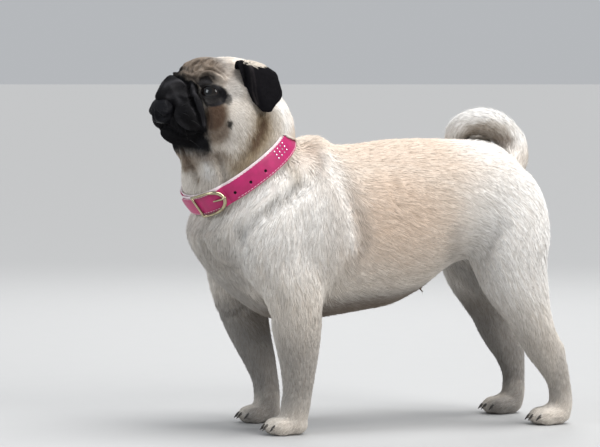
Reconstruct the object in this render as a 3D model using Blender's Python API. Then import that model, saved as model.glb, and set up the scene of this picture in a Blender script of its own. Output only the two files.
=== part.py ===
"""A life-size standing pug with a collar, in metres, +Z up. The dog faces -X and its left side is -Y."""

import math

import bmesh
import bpy
import numpy as np
from mathutils import Matrix, Vector
from mathutils.kdtree import KDTree

# Surfaces
GAP = 0.0003
GAP_ROUND = Vector((GAP, GAP, GAP))
BODY_VOXEL = 0.0024
HEAD_VOXEL = 0.0014
BODY_TRIANGLES = 5700
HEAD_TRIANGLES = 5200
RING_POINTS = 36
SHARP_EDGE = math.radians(45)

# The head's own frame: forward, left and up from the middle of the skull
SKULL_CENTRE = Vector((-0.1390, 0.0, 0.3230))
HEAD_PITCH = math.radians(10)
HEAD_TURN = math.radians(12)

# Eyes and nose, in the head's frame
EYE_RADIUS = 0.0116
EYE_CENTRE = Vector((0.0350, 0.0290, 0.0060))
EYE_TURN_OUT = math.radians(30)
EYE_TURN_UP = math.radians(3)
LID_THICKNESS = 0.0026
LID_OPENING = (math.radians(56), math.radians(29))
LID_REACH = 0.030
LID_POINTS = 20
NOSE_CENTRE = Vector((0.0715, 0.0, -0.0182))
NOSE_HALF = Vector((0.0115, 0.0163, 0.0124))

# Ears
EAR_THICKNESS = 0.0026
EAR_ROWS = 13
EAR_COLUMNS = 9

# Feet
TOE_HALF = Vector((0.0100, 0.0060, 0.0092))
TOE_SPREAD = 0.0086
CLAW_LENGTH = 0.0068
CLAW_RADIUS = 0.0021

# Collar
COLLAR_WIDTH = 0.0215
COLLAR_THICKNESS = 0.0026
COLLAR_CENTRE = Vector((-0.1306, 0.0, 0.2612))
COLLAR_AXIS = Vector((-0.736, -0.071, 1.0)).normalized()
COLLAR_POINTS = 48
COLLAR_FRONT = 0.0578
COLLAR_BACK = 0.0585
COLLAR_SIDE = 0.0630
COLLAR_POWER = 2.25
FREE_END = (math.radians(-10), math.radians(61))
STRIP_STEPS = 14
TIP_SHARES = (0.45, 0.80, 0.95)
BUCKLE_ANGLE = math.radians(26)
BUCKLE_LENGTH = 0.0430
BUCKLE_HALF_WIDTH = 0.0114
BUCKLE_BULGE = 0.0020
BUCKLE_WIRE = 0.0014
BUCKLE_RADIUS = 0.0680
BOW_REACH = 0.85
BOW_STEPS = 16
TONGUE_WIRE = 0.0011
TONGUE_PROFILE = ((-0.02, 0.0), (0.35, 0.0002), (0.60, 0.0008), (0.80, 0.0022), (0.92, 0.0026))
SEAT_DEPTH = 0.0300
STRAP_CLEARANCE = 40.0
STRAP_BARE_TO = (math.radians(112), math.radians(142))
END_SEAT = (math.radians(-24), math.radians(70))
BUCKLE_SEAT = (math.radians(19), math.radians(68))


def head_matrix():
    """From the head's frame (forward, left, up) to the world."""
    level = Vector((-math.cos(HEAD_TURN), -math.sin(HEAD_TURN), 0))
    left = Vector((math.sin(HEAD_TURN), -math.cos(HEAD_TURN), 0))
    up = Vector((0, 0, 1))
    forward = level * math.cos(HEAD_PITCH) + up * math.sin(HEAD_PITCH)
    top = up * math.cos(HEAD_PITCH) - level * math.sin(HEAD_PITCH)
    rotation = Matrix((forward, left, top)).transposed()
    return Matrix.Translation(SKULL_CENTRE) @ rotation.to_4x4()


HEAD = head_matrix()
WORLD = Matrix.Identity(4)


def side_of(place, side):
    """A left-hand place of the head, or its mirror image: side is 1 for left and -1 for right."""
    return Vector((place[0], place[1] * side, place[2]))


# Making meshes


def new_object(name, mesh):
    made = bpy.data.objects.new(name, mesh)
    bpy.context.scene.collection.objects.link(made)
    return made


def object_from_bmesh(name, bm):
    bmesh.ops.recalc_face_normals(bm, faces=bm.faces)
    mesh = bpy.data.meshes.new(name)
    bm.to_mesh(mesh)
    bm.free()
    return new_object(name, mesh)


def remove(*objects):
    for obj in objects:
        bpy.data.objects.remove(obj)


def settle(obj):
    """Applies an object's modifiers and its place to its mesh."""
    bpy.context.view_layer.update()
    graph = bpy.context.evaluated_depsgraph_get()
    mesh = bpy.data.meshes.new_from_object(obj.evaluated_get(graph))
    mesh.transform(obj.matrix_world)
    obj.modifiers.clear()
    obj.matrix_world = Matrix.Identity(4)
    obj.data = mesh
    return obj


def copy_of(obj, name):
    made = obj.copy()
    made.data = obj.data.copy()
    made.name = name
    bpy.context.scene.collection.objects.link(made)
    return made


def combine(obj, other, operation, solver="EXACT"):
    """One Boolean of two closed objects, applied; the second object is then removed."""
    tool = obj.modifiers.new("combine", "BOOLEAN")
    tool.operation = operation
    tool.solver = solver
    tool.object = other
    settle(obj)
    remove(other)
    return obj


def union_of(name, pieces):
    """One closed object from overlapping closed ones."""
    group = bpy.data.collections.new(name + "_pieces")
    for piece in pieces[1:]:
        group.objects.link(piece)
    tool = pieces[0].modifiers.new("join", "BOOLEAN")
    tool.operation = "UNION"
    tool.operand_type = "COLLECTION"
    tool.collection = group
    tool.solver = "EXACT"
    joined = settle(pieces[0])
    joined.name = name
    remove(*pieces[1:])
    bpy.data.collections.remove(group)
    keep_largest(joined)
    return joined


def keep_largest(obj):
    """Drops every closed surface of a mesh but the largest."""
    bm = bmesh.new()
    bm.from_mesh(obj.data)
    bmesh.ops.remove_doubles(bm, verts=bm.verts, dist=1e-7)
    unseen = set(bm.verts)
    shells = []
    while unseen:
        stack = [unseen.pop()]
        shell = []
        while stack:
            vertex = stack.pop()
            shell.append(vertex)
            for edge in vertex.link_edges:
                other = edge.other_vert(vertex)
                if other in unseen:
                    unseen.remove(other)
                    stack.append(other)
        shells.append(shell)
    shells.sort(key=len)
    scraps = [vertex for shell in shells[:-1] for vertex in shell]
    bmesh.ops.delete(bm, geom=scraps, context="VERTS")
    bm.to_mesh(obj.data)
    bm.free()


def grown(obj, distance=GAP):
    """A copy whose surface lies a little further out, to cut a neighbour with."""
    made = copy_of(obj, obj.name + "_grown")
    push = made.modifiers.new("grow", "DISPLACE")
    push.mid_level = 0
    push.strength = distance
    return settle(made)


def ellipsoid(name, centre, radii, matrix=WORLD, rings=24, segments=32):
    bm = bmesh.new()
    place = matrix @ Matrix.Translation(Vector(centre)) @ Matrix.Diagonal((*radii, 1))
    bmesh.ops.create_uvsphere(bm, u_segments=segments, v_segments=rings, radius=1, matrix=place)
    return object_from_bmesh(name, bm)


def smooth_path(points, steps=None, spacing=0.0012):
    """Points along a smooth curve through a few given ones of any dimension."""
    given = [Vector(p) for p in points]
    given = [given[0] * 2 - given[1]] + given + [given[-1] * 2 - given[-2]]
    out = []
    for a, b, c, d in zip(given, given[1:], given[2:], given[3:]):
        count = steps or max(2, int((c - b).length / spacing))
        for k in range(count):
            t = k / count
            bend = (2 * a - 5 * b + 4 * c - d) * t * t + (3 * b - a - 3 * c + d) * t**3
            out.append(0.5 * (2 * b + (c - a) * t + bend))
    return out + [given[-2]]


def tube(name, stations, side, matrix=WORLD, points=RING_POINTS, power=2.0, steps=4, axis=None):
    """A closed loft through stations of (place, half width along side, half depth across it).

    Its rings stand square to the path, or to a fixed axis where one is given.
    """
    centres = smooth_path([place for place, _, _ in stations], steps)
    halves = smooth_path([(wide, deep) for _, wide, deep in stations], steps)
    stations = [(c, max(h[0], 1e-4), max(h[1], 1e-4)) for c, h in zip(centres, halves)]
    places = [place for place, _, _ in stations]
    bm = bmesh.new()
    rings = []
    for i, (place, half_width, half_depth) in enumerate(stations):
        before = places[max(i - 1, 0)]
        after = places[min(i + 1, len(places) - 1)]
        along = Vector(axis) if axis else (after - before).normalized()
        across = (Vector(side) - along * along.dot(Vector(side))).normalized()
        other = along.cross(across)
        ring = []
        for k in range(points):
            angle = math.tau * k / points
            c, s = math.cos(angle), math.sin(angle)
            wide = math.copysign(abs(c) ** (2 / power), c) * half_width
            deep = math.copysign(abs(s) ** (2 / power), s) * half_depth
            ring.append(bm.verts.new(Vector(place) + across * wide + other * deep))
        rings.append(ring)
    close_rings(bm, rings)
    bm.faces.new(rings[0])
    bm.faces.new(rings[-1])
    bmesh.ops.transform(bm, matrix=matrix, verts=bm.verts)
    return object_from_bmesh(name, bm)


def close_rings(bm, rings):
    for first, second in zip(rings, rings[1:]):
        for k in range(len(first)):
            follow = (k + 1) % len(first)
            bm.faces.new((first[k], first[follow], second[follow], second[k]))


def rod(name, points, radius, sides=10, closed=False):
    """A round wire along a path of points."""
    curve = bpy.data.curves.new(name, "CURVE")
    curve.dimensions = "3D"
    curve.bevel_depth = radius
    curve.bevel_resolution = sides // 2 - 2
    curve.use_fill_caps = not closed
    spline = curve.splines.new("POLY")
    spline.points.add(len(points) - 1)
    for point, place in zip(spline.points, points):
        point.co = (*place, 1)
    spline.use_cyclic_u = closed
    made = settle_curve(new_object(name, curve))
    return made


def settle_curve(obj):
    """Turns a curve object into a closed mesh object of the same name."""
    graph = bpy.context.evaluated_depsgraph_get()
    mesh = bpy.data.meshes.new_from_object(obj.evaluated_get(graph))
    name = obj.name
    remove(obj)
    bm = bmesh.new()
    bm.from_mesh(mesh)
    bmesh.ops.remove_doubles(bm, verts=bm.verts, dist=1e-6)
    return object_from_bmesh(name, bm)


def region(name, planes, grow=0.0, reach=0.6):
    """A cube cut down by planes of (point, outward normal): the space that holds one part of the body."""
    bm = bmesh.new()
    bmesh.ops.create_cube(bm, size=2 * reach)
    for point, normal in planes:
        outward = Vector(normal).normalized()
        cut = bmesh.ops.bisect_plane(
            bm,
            geom=bm.verts[:] + bm.edges[:] + bm.faces[:],
            plane_co=Vector(point) + outward * grow,
            plane_no=outward,
            clear_outer=True,
        )
        edges = [e for e in cut["geom_cut"] if isinstance(e, bmesh.types.BMEdge)]
        bmesh.ops.contextual_create(bm, geom=edges)
    return object_from_bmesh(name, bm)


# The skin's base forms


def torso_forms():
    """The barrel of the body: place along X, underside, topline and half width."""
    barrel = (
        (-0.1800, 0.192, 0.216, 0.020),
        (-0.1740, 0.178, 0.238, 0.040),
        (-0.1630, 0.162, 0.256, 0.054),
        (-0.1480, 0.145, 0.268, 0.064),
        (-0.1280, 0.128, 0.276, 0.072),
        (-0.0980, 0.110, 0.282, 0.079),
        (-0.0650, 0.108, 0.284, 0.083),
        (-0.0330, 0.112, 0.2830, 0.086),
        (-0.0050, 0.116, 0.2840, 0.087),
        (0.0250, 0.121, 0.2880, 0.085),
        (0.0550, 0.136, 0.2890, 0.080),
        (0.0850, 0.158, 0.2885, 0.075),
        (0.1150, 0.168, 0.2870, 0.073),
        (0.1400, 0.174, 0.2820, 0.070),
        (0.1600, 0.178, 0.2680, 0.057),
        (0.1740, 0.182, 0.2500, 0.045),
        (0.1850, 0.188, 0.2300, 0.032),
        (0.1930, 0.196, 0.2150, 0.018),
    )
    stations = [
        ((x, 0, (low + high) / 2), half_width, (high - low) / 2)
        for x, low, high, half_width in barrel
    ]
    body = tube("barrel", stations, (0, 1, 0), power=2.15, axis=(1, 0, 0))
    roll = ellipsoid("withers_roll", (-0.0540, 0, 0.2480), (0.0280, 0.0600, 0.0472))
    breast = ellipsoid("breast", (-0.1400, 0, 0.2020), (0.0400, 0.0560, 0.0420))
    root = ellipsoid("tail_root", (0.1540, 0, 0.2560), (0.0160, 0.0170, 0.0160))
    return [body, roll, breast, root]


def neck_forms():
    column = (
        ((-0.1280, 0, 0.3220), 0.0500, 0.0455),
        ((-0.1270, 0, 0.3000), 0.0575, 0.0550),
        ((-0.1290, 0, 0.2760), 0.0620, 0.0580),
        ((-0.1270, 0, 0.2480), 0.0640, 0.0590),
        ((-0.1200, 0, 0.2200), 0.0670, 0.0630),
        ((-0.1080, 0, 0.1950), 0.0680, 0.0650),
    )
    near_fold = (
        ((-0.1580, -0.022, 0.2840), 0.0110, 0.0120),
        ((-0.1600, -0.025, 0.2620), 0.0130, 0.0130),
        ((-0.1610, -0.024, 0.2400), 0.0120, 0.0120),
    )
    far_fold = (
        ((-0.1720, 0.008, 0.2900), 0.0120, 0.0120),
        ((-0.1715, 0.010, 0.2700), 0.0130, 0.0120),
        ((-0.1650, 0.010, 0.2460), 0.0120, 0.0115),
    )
    folds = [tube("throat_fold", path, (0, 1, 0)) for path in (near_fold, far_fold)]
    return [tube("neck", column, (0, 1, 0))] + folds


def fore_leg_forms(side, path):
    """One front leg from (height, middle along X, half depth, half width, distance from the middle)."""
    blade = ellipsoid("shoulder", (-0.1120, side * 0.0560, 0.1980), (0.0400, 0.0290, 0.0580))
    stations = [((x, side * y, z), wide, deep) for z, x, deep, wide, y in path]
    foot_x = path[-1][1]
    return [blade, tube("fore_leg", stations, (0, 1, 0))] + foot_forms(foot_x, side * 0.053, 0.0020)


NEAR_FORE_LEG = (
    (0.1850, -0.1020, 0.0400, 0.0250, 0.0560),
    (0.1550, -0.0940, 0.0350, 0.0250, 0.0600),
    (0.1300, -0.0890, 0.0300, 0.0225, 0.0620),
    (0.1120, -0.0885, 0.0268, 0.0205, 0.0610),
    (0.0860, -0.0865, 0.0222, 0.0185, 0.0590),
    (0.0660, -0.0855, 0.0184, 0.0170, 0.0570),
    (0.0460, -0.0855, 0.0152, 0.0158, 0.0550),
    (0.0330, -0.0865, 0.0146, 0.0160, 0.0540),
    (0.0200, -0.0885, 0.0140, 0.0155, 0.0530),
    (0.0080, -0.0910, 0.0130, 0.0145, 0.0530),
)
FAR_FORE_LEG = (
    (0.1850, -0.1080, 0.0400, 0.0250, 0.0560),
    (0.1550, -0.1120, 0.0340, 0.0250, 0.0600),
    (0.1340, -0.1110, 0.0285, 0.0225, 0.0620),
    (0.1100, -0.1050, 0.0250, 0.0205, 0.0610),
    (0.0850, -0.0975, 0.0205, 0.0185, 0.0590),
    (0.0650, -0.0905, 0.0170, 0.0170, 0.0570),
    (0.0450, -0.0850, 0.0136, 0.0158, 0.0550),
    (0.0330, -0.0835, 0.0132, 0.0160, 0.0540),
    (0.0200, -0.0835, 0.0130, 0.0155, 0.0530),
    (0.0080, -0.0855, 0.0130, 0.0145, 0.0530),
)


def hind_leg_forms(side, foot_shift):
    """One back leg. foot_shift carries its foot forward where the dog has drawn it in."""
    path = (
        (0.2480, 0.1300, 0.0360, 0.0270, 0.0370, 0.0),
        (0.2200, 0.1360, 0.0450, 0.0350, 0.0410, 0.0),
        (0.1900, 0.1400, 0.0450, 0.0370, 0.0450, 0.0),
        (0.1700, 0.1410, 0.0410, 0.0350, 0.0470, 0.0),
        (0.1510, 0.1450, 0.0365, 0.0310, 0.0490, 0.0),
        (0.1300, 0.1530, 0.0305, 0.0270, 0.0500, 0.0),
        (0.1080, 0.1620, 0.0230, 0.0225, 0.0510, 0.1),
        (0.0920, 0.1690, 0.0205, 0.0190, 0.0520, 0.2),
        (0.0760, 0.1785, 0.0200, 0.0165, 0.0520, 0.2),
        (0.0600, 0.1865, 0.0158, 0.0145, 0.0520, 0.4),
        (0.0440, 0.1930, 0.0122, 0.0130, 0.0520, 0.7),
        (0.0300, 0.1955, 0.0114, 0.0130, 0.0520, 0.9),
        (0.0180, 0.1955, 0.0118, 0.0135, 0.0520, 1.0),
        (0.0070, 0.1925, 0.0120, 0.0130, 0.0520, 1.0),
    )
    stations = [
        ((x + share * foot_shift, side * y, z), wide, deep) for z, x, deep, wide, y, share in path
    ]
    hock = ellipsoid("hock", (0.1925 + 0.3 * foot_shift, side * 0.052, 0.0740), (0.0085, 0.0080, 0.0120))
    foot_x = 0.1880 + foot_shift
    return [tube("hind_leg", stations, (0, 1, 0)), hock] + foot_forms(foot_x, side * 0.052, 0.0)


def toe_places(x, y, advance):
    """Where four toes side by side stand, the middle two further forward."""
    reach = {1: 0.0165 + advance, 3: 0.0115 + advance}
    return [(x - reach[abs(k)], y + k * TOE_SPREAD / 2) for k in (-3, -1, 1, 3)]


def foot_forms(x, y, advance):
    """A heel pad and four toes, a little deeper than the floor that cuts them flat."""
    pad = ellipsoid("pad", (x, y, 0.0095), (0.0165, 0.0165, 0.0115))
    toes = [
        ellipsoid("toe", (toe_x, toe_y, 0.0080), TOE_HALF, rings=10, segments=14)
        for toe_x, toe_y in toe_places(x, y, advance)
    ]
    return [pad] + toes


def head_forms():
    """The skull, cheeks, muzzle and the large folds, all in the head's frame."""
    bulbs = [
        ("cranium", (0.002, 0.0, 0.0055), (0.050, 0.0530, 0.0420)),
        ("forehead", (0.026, 0.0, 0.0110), (0.0360, 0.0420, 0.0325)),
        ("nape", (-0.025, 0.0, -0.0130), (0.0410, 0.0480, 0.0390)),
        ("muzzle", (0.0460, 0.0, -0.0130), (0.0290, 0.0330, 0.0265)),
        ("chin", (0.0455, 0.0, -0.0365), (0.0240, 0.0215, 0.0122)),
        ("throat", (0.0120, 0.0, -0.0440), (0.0330, 0.0365, 0.0280)),
        ("bridge", (0.0710, 0.0, -0.0045), (0.0100, 0.0130, 0.0095)),
    ]
    for side in (1, -1):
        bulbs += [
            ("cheek", (0.0080, side * 0.030, -0.0180), (0.0370, 0.0280, 0.0360)),
            ("jowl", (0.0140, side * 0.028, -0.0380), (0.0270, 0.0230, 0.0260)),
            ("flew", (0.0500, side * 0.0170, -0.0200), (0.0215, 0.0190, 0.0198)),
            ("brow", (0.0370, side * 0.0275, 0.0210), (0.0150, 0.0175, 0.0085)),
            ("orbit", side_of(EYE_CENTRE, side), (EYE_RADIUS + LID_THICKNESS,) * 3),
        ]
    made = [ellipsoid(name, centre, radii, HEAD) for name, centre, radii in bulbs]
    roll = [(place, r, r) for place, r in NOSE_ROLL]
    roll = [(side_of(place, -1), r, r) for place, r in NOSE_ROLL[:0:-1]] + roll
    made.append(tube("nose_roll", roll, (1, 0, 0), HEAD, points=20))
    for side in (1, -1):
        fold = [(side_of(place, side), r, r) for place, r in CHEEK_FOLD]
        made.append(tube("cheek_fold", fold, (1, 0, 0), HEAD, points=14))
    return made


NOSE_ROLL = (
    ((0.0622, 0.000, 0.0024), 0.0150),
    ((0.0602, 0.009, 0.0020), 0.0144),
    ((0.0560, 0.0165, -0.0006), 0.0120),
    ((0.0530, 0.0215, -0.0060), 0.0092),
)
CHEEK_FOLD = (
    ((0.0560, 0.0080, 0.0150), 0.0045),
    ((0.0535, 0.0170, 0.0070), 0.0055),
    ((0.0495, 0.0260, -0.0050), 0.0060),
    ((0.0450, 0.0315, -0.0170), 0.0060),
    ((0.0410, 0.0340, -0.0290), 0.0055),
)


# Sculpting strokes on the skin


class Sculptor:
    """Raises or sinks a skin along paths laid on it."""

    def __init__(self, mesh):
        self.mesh = mesh
        count = len(mesh.vertices)
        self.places = np.empty(count * 3)
        mesh.vertices.foreach_get("co", self.places)
        self.places = self.places.reshape(-1, 3)
        self.tree = KDTree(count)
        for i, place in enumerate(self.places):
            self.tree.insert(place, i)
        self.tree.balance()

    def normals(self):
        out = np.empty(len(self.places) * 3, np.float32)
        self.mesh.vertex_normals.foreach_get("vector", out)
        return out.reshape(-1, 3).astype(float)

    def stroke(self, points, width, lift, matrix=WORLD):
        """Lifts the skin along a path, or sinks it where lift is negative, fading at both ends."""
        path = smooth_path([self.tree.find(matrix @ Vector(p))[0] for p in points])
        path = np.array([self.tree.find(p)[0] for p in path])
        low, high = path.min(0) - 3 * width, path.max(0) + 3 * width
        near = np.flatnonzero(((self.places > low) & (self.places < high)).all(1))
        offsets = self.places[near, None] - path[None]
        distance = np.sqrt((offsets**2).sum(2))
        nearest = distance.argmin(1)
        fade = np.sin(np.pi * (0.06 + 0.88 * nearest / (len(path) - 1))) ** 0.6
        push = lift * fade * np.exp(-((distance.min(1) / width) ** 2))
        self.places[near] += self.normals()[near] * push[:, None]
        self.mesh.vertices.foreach_set("co", self.places.ravel())
        self.mesh.update()


FACE_STROKES = (
    # (path on the left side of the head, width, lift)
    (((0.0613, 0.000, 0.0156), (0.0583, 0.008, 0.0128), (0.0578, 0.018, 0.0031), (0.0543, 0.026, -0.0099),
      (0.0493, 0.031, -0.0220), (0.0452, 0.033, -0.0317)), 0.0026, -0.0050),
    (((0.0560, 0.012, 0.0180), (0.0525, 0.020, 0.0097), (0.0473, 0.028, -0.0030), (0.0429, 0.034, -0.0148),
      (0.0395, 0.038, -0.0273), (0.0385, 0.036, -0.0350)), 0.0026, -0.0038),
    (((0.0640, 0.001, -0.0330), (0.0590, 0.008, -0.0345), (0.0520, 0.018, -0.0370), (0.0440, 0.027, -0.0385),
      (0.0370, 0.033, -0.0370)), 0.0020, -0.0052),
    (((0.0640, 0.004, -0.0290), (0.0580, 0.012, -0.0305), (0.0500, 0.022, -0.0325), (0.0430, 0.030, -0.0320)),
     0.0030, 0.0012),
    (((0.0730, 0.0130, -0.0080), (0.0705, 0.0175, -0.0120), (0.0700, 0.0180, -0.0190), (0.0635, 0.0185, -0.0285),
      (0.0560, 0.0200, -0.0355)), 0.0024, -0.0036),
    (((0.0520, 0.020, 0.0140), (0.0480, 0.029, 0.0185), (0.0420, 0.037, 0.0165), (0.0360, 0.042, 0.0110)),
     0.0024, -0.0026),
    (((0.0560, 0.014, 0.0270), (0.0510, 0.026, 0.0320), (0.0430, 0.036, 0.0290), (0.0340, 0.043, 0.0240)),
     0.0022, -0.0024),
    (((0.0545, 0.007, 0.0255), (0.0500, 0.011, 0.0340), (0.0430, 0.018, 0.0400)), 0.0019, -0.0026),
    (((0.0420, 0.022, 0.0330), (0.0345, 0.026, 0.0395)), 0.0018, -0.0018),
    (((0.0440, 0.033, -0.0060), (0.0390, 0.039, -0.0075), (0.0300, 0.044, -0.0010)), 0.0026, -0.0016),
    (((-0.0080, 0.053, -0.0120), (-0.0096, 0.055, -0.0250), (-0.0039, 0.053, -0.0400), (0.0110, 0.047, -0.0560)),
     0.0045, -0.0032),
)
MIDDLE_STROKES = (
    (((0.0610, 0.0, 0.0190), (0.0580, 0.0, 0.0280), (0.0480, 0.0, 0.0390)), 0.0022, -0.0026),
    (((0.0720, 0.0, -0.0250), (0.0660, 0.0, -0.0330)), 0.0016, -0.0024),
)
THROAT_STROKES = (
    (((-0.1860, -0.004, 0.2740), (-0.1840, -0.010, 0.2640), (-0.1776, -0.020, 0.2565), (-0.1745, -0.022, 0.2400)),
     0.0032, -0.0040),
)
BODY_STROKES = (
    # (path on the left side of the body, width, lift)
    (((-0.060, -0.045, 0.272), (-0.072, -0.062, 0.258), (-0.089, -0.070, 0.242), (-0.126, -0.066, 0.214),
      (-0.145, -0.055, 0.195)), 0.0055, -0.0060),
    (((-0.079, -0.050, 0.268), (-0.100, -0.064, 0.248), (-0.128, -0.062, 0.228)), 0.0080, 0.0028),
    (((-0.046, -0.062, 0.264), (-0.040, -0.078, 0.238), (-0.033, -0.085, 0.207), (-0.030, -0.086, 0.187),
      (-0.044, -0.080, 0.155), (-0.068, -0.060, 0.124)), 0.0065, -0.0050),
    (((-0.058, -0.050, 0.277), (-0.054, -0.074, 0.245), (-0.047, -0.084, 0.205), (-0.053, -0.084, 0.168)),
     0.0085, 0.0030),
    (((0.104, -0.055, 0.165), (0.108, -0.068, 0.185), (0.120, -0.072, 0.205)), 0.0090, -0.0042),
    (((-0.168, -0.018, 0.200), (-0.160, -0.028, 0.170), (-0.142, -0.040, 0.140)), 0.0070, -0.0042),
    (((-0.170, -0.032, 0.185), (-0.158, -0.044, 0.160)), 0.0100, 0.0026),
    (((-0.120, -0.070, 0.150), (-0.108, -0.072, 0.135), (-0.100, -0.066, 0.122)), 0.0060, -0.0034),
    (((-0.062, -0.074, 0.132), (-0.070, -0.066, 0.116)), 0.0060, -0.0030),
    (((0.003, -0.050, 0.272), (0.008, -0.074, 0.240), (0.010, -0.083, 0.205)), 0.0055, -0.0016),
    (((0.184, -0.053, 0.100), (0.190, -0.053, 0.084)), 0.0040, -0.0020),
)


def sculpt_head(mesh):
    sculptor = Sculptor(mesh)
    for path, width, lift in FACE_STROKES:
        for side in (1, -1):
            sculptor.stroke([side_of(p, side) for p in path], width, lift, HEAD)
    for path, width, lift in MIDDLE_STROKES:
        sculptor.stroke(path, width, lift, HEAD)


def sculpt_body(mesh):
    sculptor = Sculptor(mesh)
    for path, width, lift in THROAT_STROKES:
        sculptor.stroke(path, width, lift)
    for path, width, lift in BODY_STROKES:
        for side in (1, -1):
            sculptor.stroke([side_of(p, side) for p in path], width, lift)


def press_round_strap(mesh):
    """Presses the flesh in under the strap and beside it, except at the nape, so that its edges stay bare."""
    forward, left = collar_frame()
    for vertex in mesh.vertices:
        offset = vertex.co - COLLAR_CENTRE
        along = offset.dot(COLLAR_AXIS)
        flat = offset - COLLAR_AXIS * along
        beside = max(0.0, abs(along) - COLLAR_WIDTH / 2)
        angle = math.atan2(flat.dot(left), flat.dot(forward))
        limit = collar_radius(angle) + beside + STRAP_CLEARANCE * beside**2
        share = (abs(angle) - STRAP_BARE_TO[0]) / (STRAP_BARE_TO[1] - STRAP_BARE_TO[0])
        if flat.length > limit:
            vertex.co -= flat * (1 - limit / flat.length) * (1 - min(1.0, max(0.0, share)))


def fused(name, forms, voxel, steps):
    """Soft forms made into one surface and smoothed."""
    bm = bmesh.new()
    for form in forms:
        bm.from_mesh(form.data)
    remove(*forms)
    skin = object_from_bmesh(name, bm)
    fuse = skin.modifiers.new("fuse", "REMESH")
    fuse.mode = "VOXEL"
    fuse.voxel_size = voxel
    softened(skin, steps)
    keep_largest(skin)
    return skin


def softened(obj, steps):
    relax = obj.modifiers.new("relax", "SMOOTH")
    relax.factor = 0.5
    relax.iterations = steps
    return settle(obj)


def reduce(obj, triangles):
    obj.data.calc_loop_triangles()
    thin = obj.modifiers.new("thin", "DECIMATE")
    thin.ratio = triangles / len(obj.data.loop_triangles)
    return settle(obj)


def body_skin():
    forms = torso_forms() + neck_forms() + head_forms()
    forms += fore_leg_forms(-1, NEAR_FORE_LEG) + fore_leg_forms(1, FAR_FORE_LEG)
    forms += hind_leg_forms(-1, 0.0) + hind_leg_forms(1, -0.0100)
    skin = fused("torso", forms, BODY_VOXEL, 6)
    sculpt_body(skin.data)
    press_round_strap(skin.data)
    return softened(skin, 2)


def head_skin():
    skin = fused("head", head_forms() + neck_forms(), HEAD_VOXEL, 5)
    sculpt_head(skin.data)
    press_round_strap(skin.data)
    return softened(skin, 2)


# Ears, eyes, nose


def ear_point(across, down):
    """A place on the left ear's sheet: across runs from its front edge to its back, down from root to tip."""
    front = smooth_row(EAR_FRONT, down)
    middle = smooth_row(EAR_MIDDLE, down)
    back = smooth_row(EAR_BACK, down)
    bend = 4 * across * (1 - across)
    return front.lerp(back, across) + (middle - (front + back) / 2) * bend


EAR_FRONT = (
    (0.0200, 0.0370, 0.0330),
    (0.0235, 0.0440, 0.0390),
    (0.0205, 0.0480, 0.0320),
    (0.0125, 0.0520, 0.0165),
    (0.0020, 0.0560, 0.0025),
    (-0.0050, 0.0600, -0.0045),
)
EAR_MIDDLE = (
    (0.0040, 0.0340, 0.0335),
    (0.0060, 0.0455, 0.0415),
    (0.0040, 0.0535, 0.0362),
    (-0.0010, 0.0590, 0.0200),
    (-0.0060, 0.0625, 0.0045),
    (-0.0095, 0.0630, -0.0045),
)
EAR_BACK = (
    (-0.0170, 0.0360, 0.0250),
    (-0.0205, 0.0460, 0.0350),
    (-0.0205, 0.0530, 0.0290),
    (-0.0245, 0.0580, 0.0140),
    (-0.0165, 0.0610, 0.0030),
    (-0.0130, 0.0615, -0.0035),
)


def smooth_row(points, share):
    path = smooth_path(points, spacing=0.0006)
    place = share * (len(path) - 1)
    low = min(int(place), len(path) - 2)
    return path[low].lerp(path[low + 1], place - low)


def make_ear(name, side):
    """A folded flap of skin with a hollow under it, one closed body."""
    bm = bmesh.new()
    grid = []
    for i in range(EAR_ROWS):
        row = []
        for j in range(EAR_COLUMNS):
            place = ear_point(j / (EAR_COLUMNS - 1), i / (EAR_ROWS - 1))
            row.append(bm.verts.new(HEAD @ side_of(place, side)))
        grid.append(row)
    for upper, lower in zip(grid, grid[1:]):
        for j in range(EAR_COLUMNS - 1):
            bm.faces.new((upper[j], upper[j + 1], lower[j + 1], lower[j]))
    ear = object_from_bmesh(name, bm)
    shell = ear.modifiers.new("thickness", "SOLIDIFY")
    shell.thickness = EAR_THICKNESS
    shell.offset = 0
    shell.use_even_offset = True
    return settle(ear)


def eye_matrix(side):
    """The eye's place, with its local X along the gaze."""
    gaze = Matrix.Rotation(side * EYE_TURN_OUT, 4, "Z") @ Matrix.Rotation(-EYE_TURN_UP, 4, "Y")
    return HEAD @ Matrix.Translation(side_of(EYE_CENTRE, side)) @ gaze


def carve_eye(head, side):
    """A socket for the ball, and the almond opening between the lids."""
    socket = ellipsoid("socket", (0, 0, 0), (EYE_RADIUS + GAP,) * 3, eye_matrix(side), 10, 14)
    combine(head, socket, "DIFFERENCE")
    wide, high = (math.tan(angle) * LID_REACH for angle in LID_OPENING)
    bm = bmesh.new()
    apex = bm.verts.new((0.0, 0, 0))
    rim = []
    for k in range(LID_POINTS):
        angle = math.tau * k / LID_POINTS
        squeeze = 1 - 0.35 * abs(math.cos(angle)) ** 3
        rim.append(bm.verts.new((LID_REACH, math.cos(angle) * wide, math.sin(angle) * high * squeeze)))
    for k in range(LID_POINTS):
        bm.faces.new((apex, rim[k], rim[(k + 1) % LID_POINTS]))
    bm.faces.new(rim)
    bmesh.ops.transform(bm, matrix=eye_matrix(side), verts=bm.verts)
    combine(head, object_from_bmesh("opening", bm), "DIFFERENCE")


def make_eye(name, side):
    return ellipsoid(name, (0, 0, 0), (EYE_RADIUS,) * 3, eye_matrix(side), 10, 14)


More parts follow.
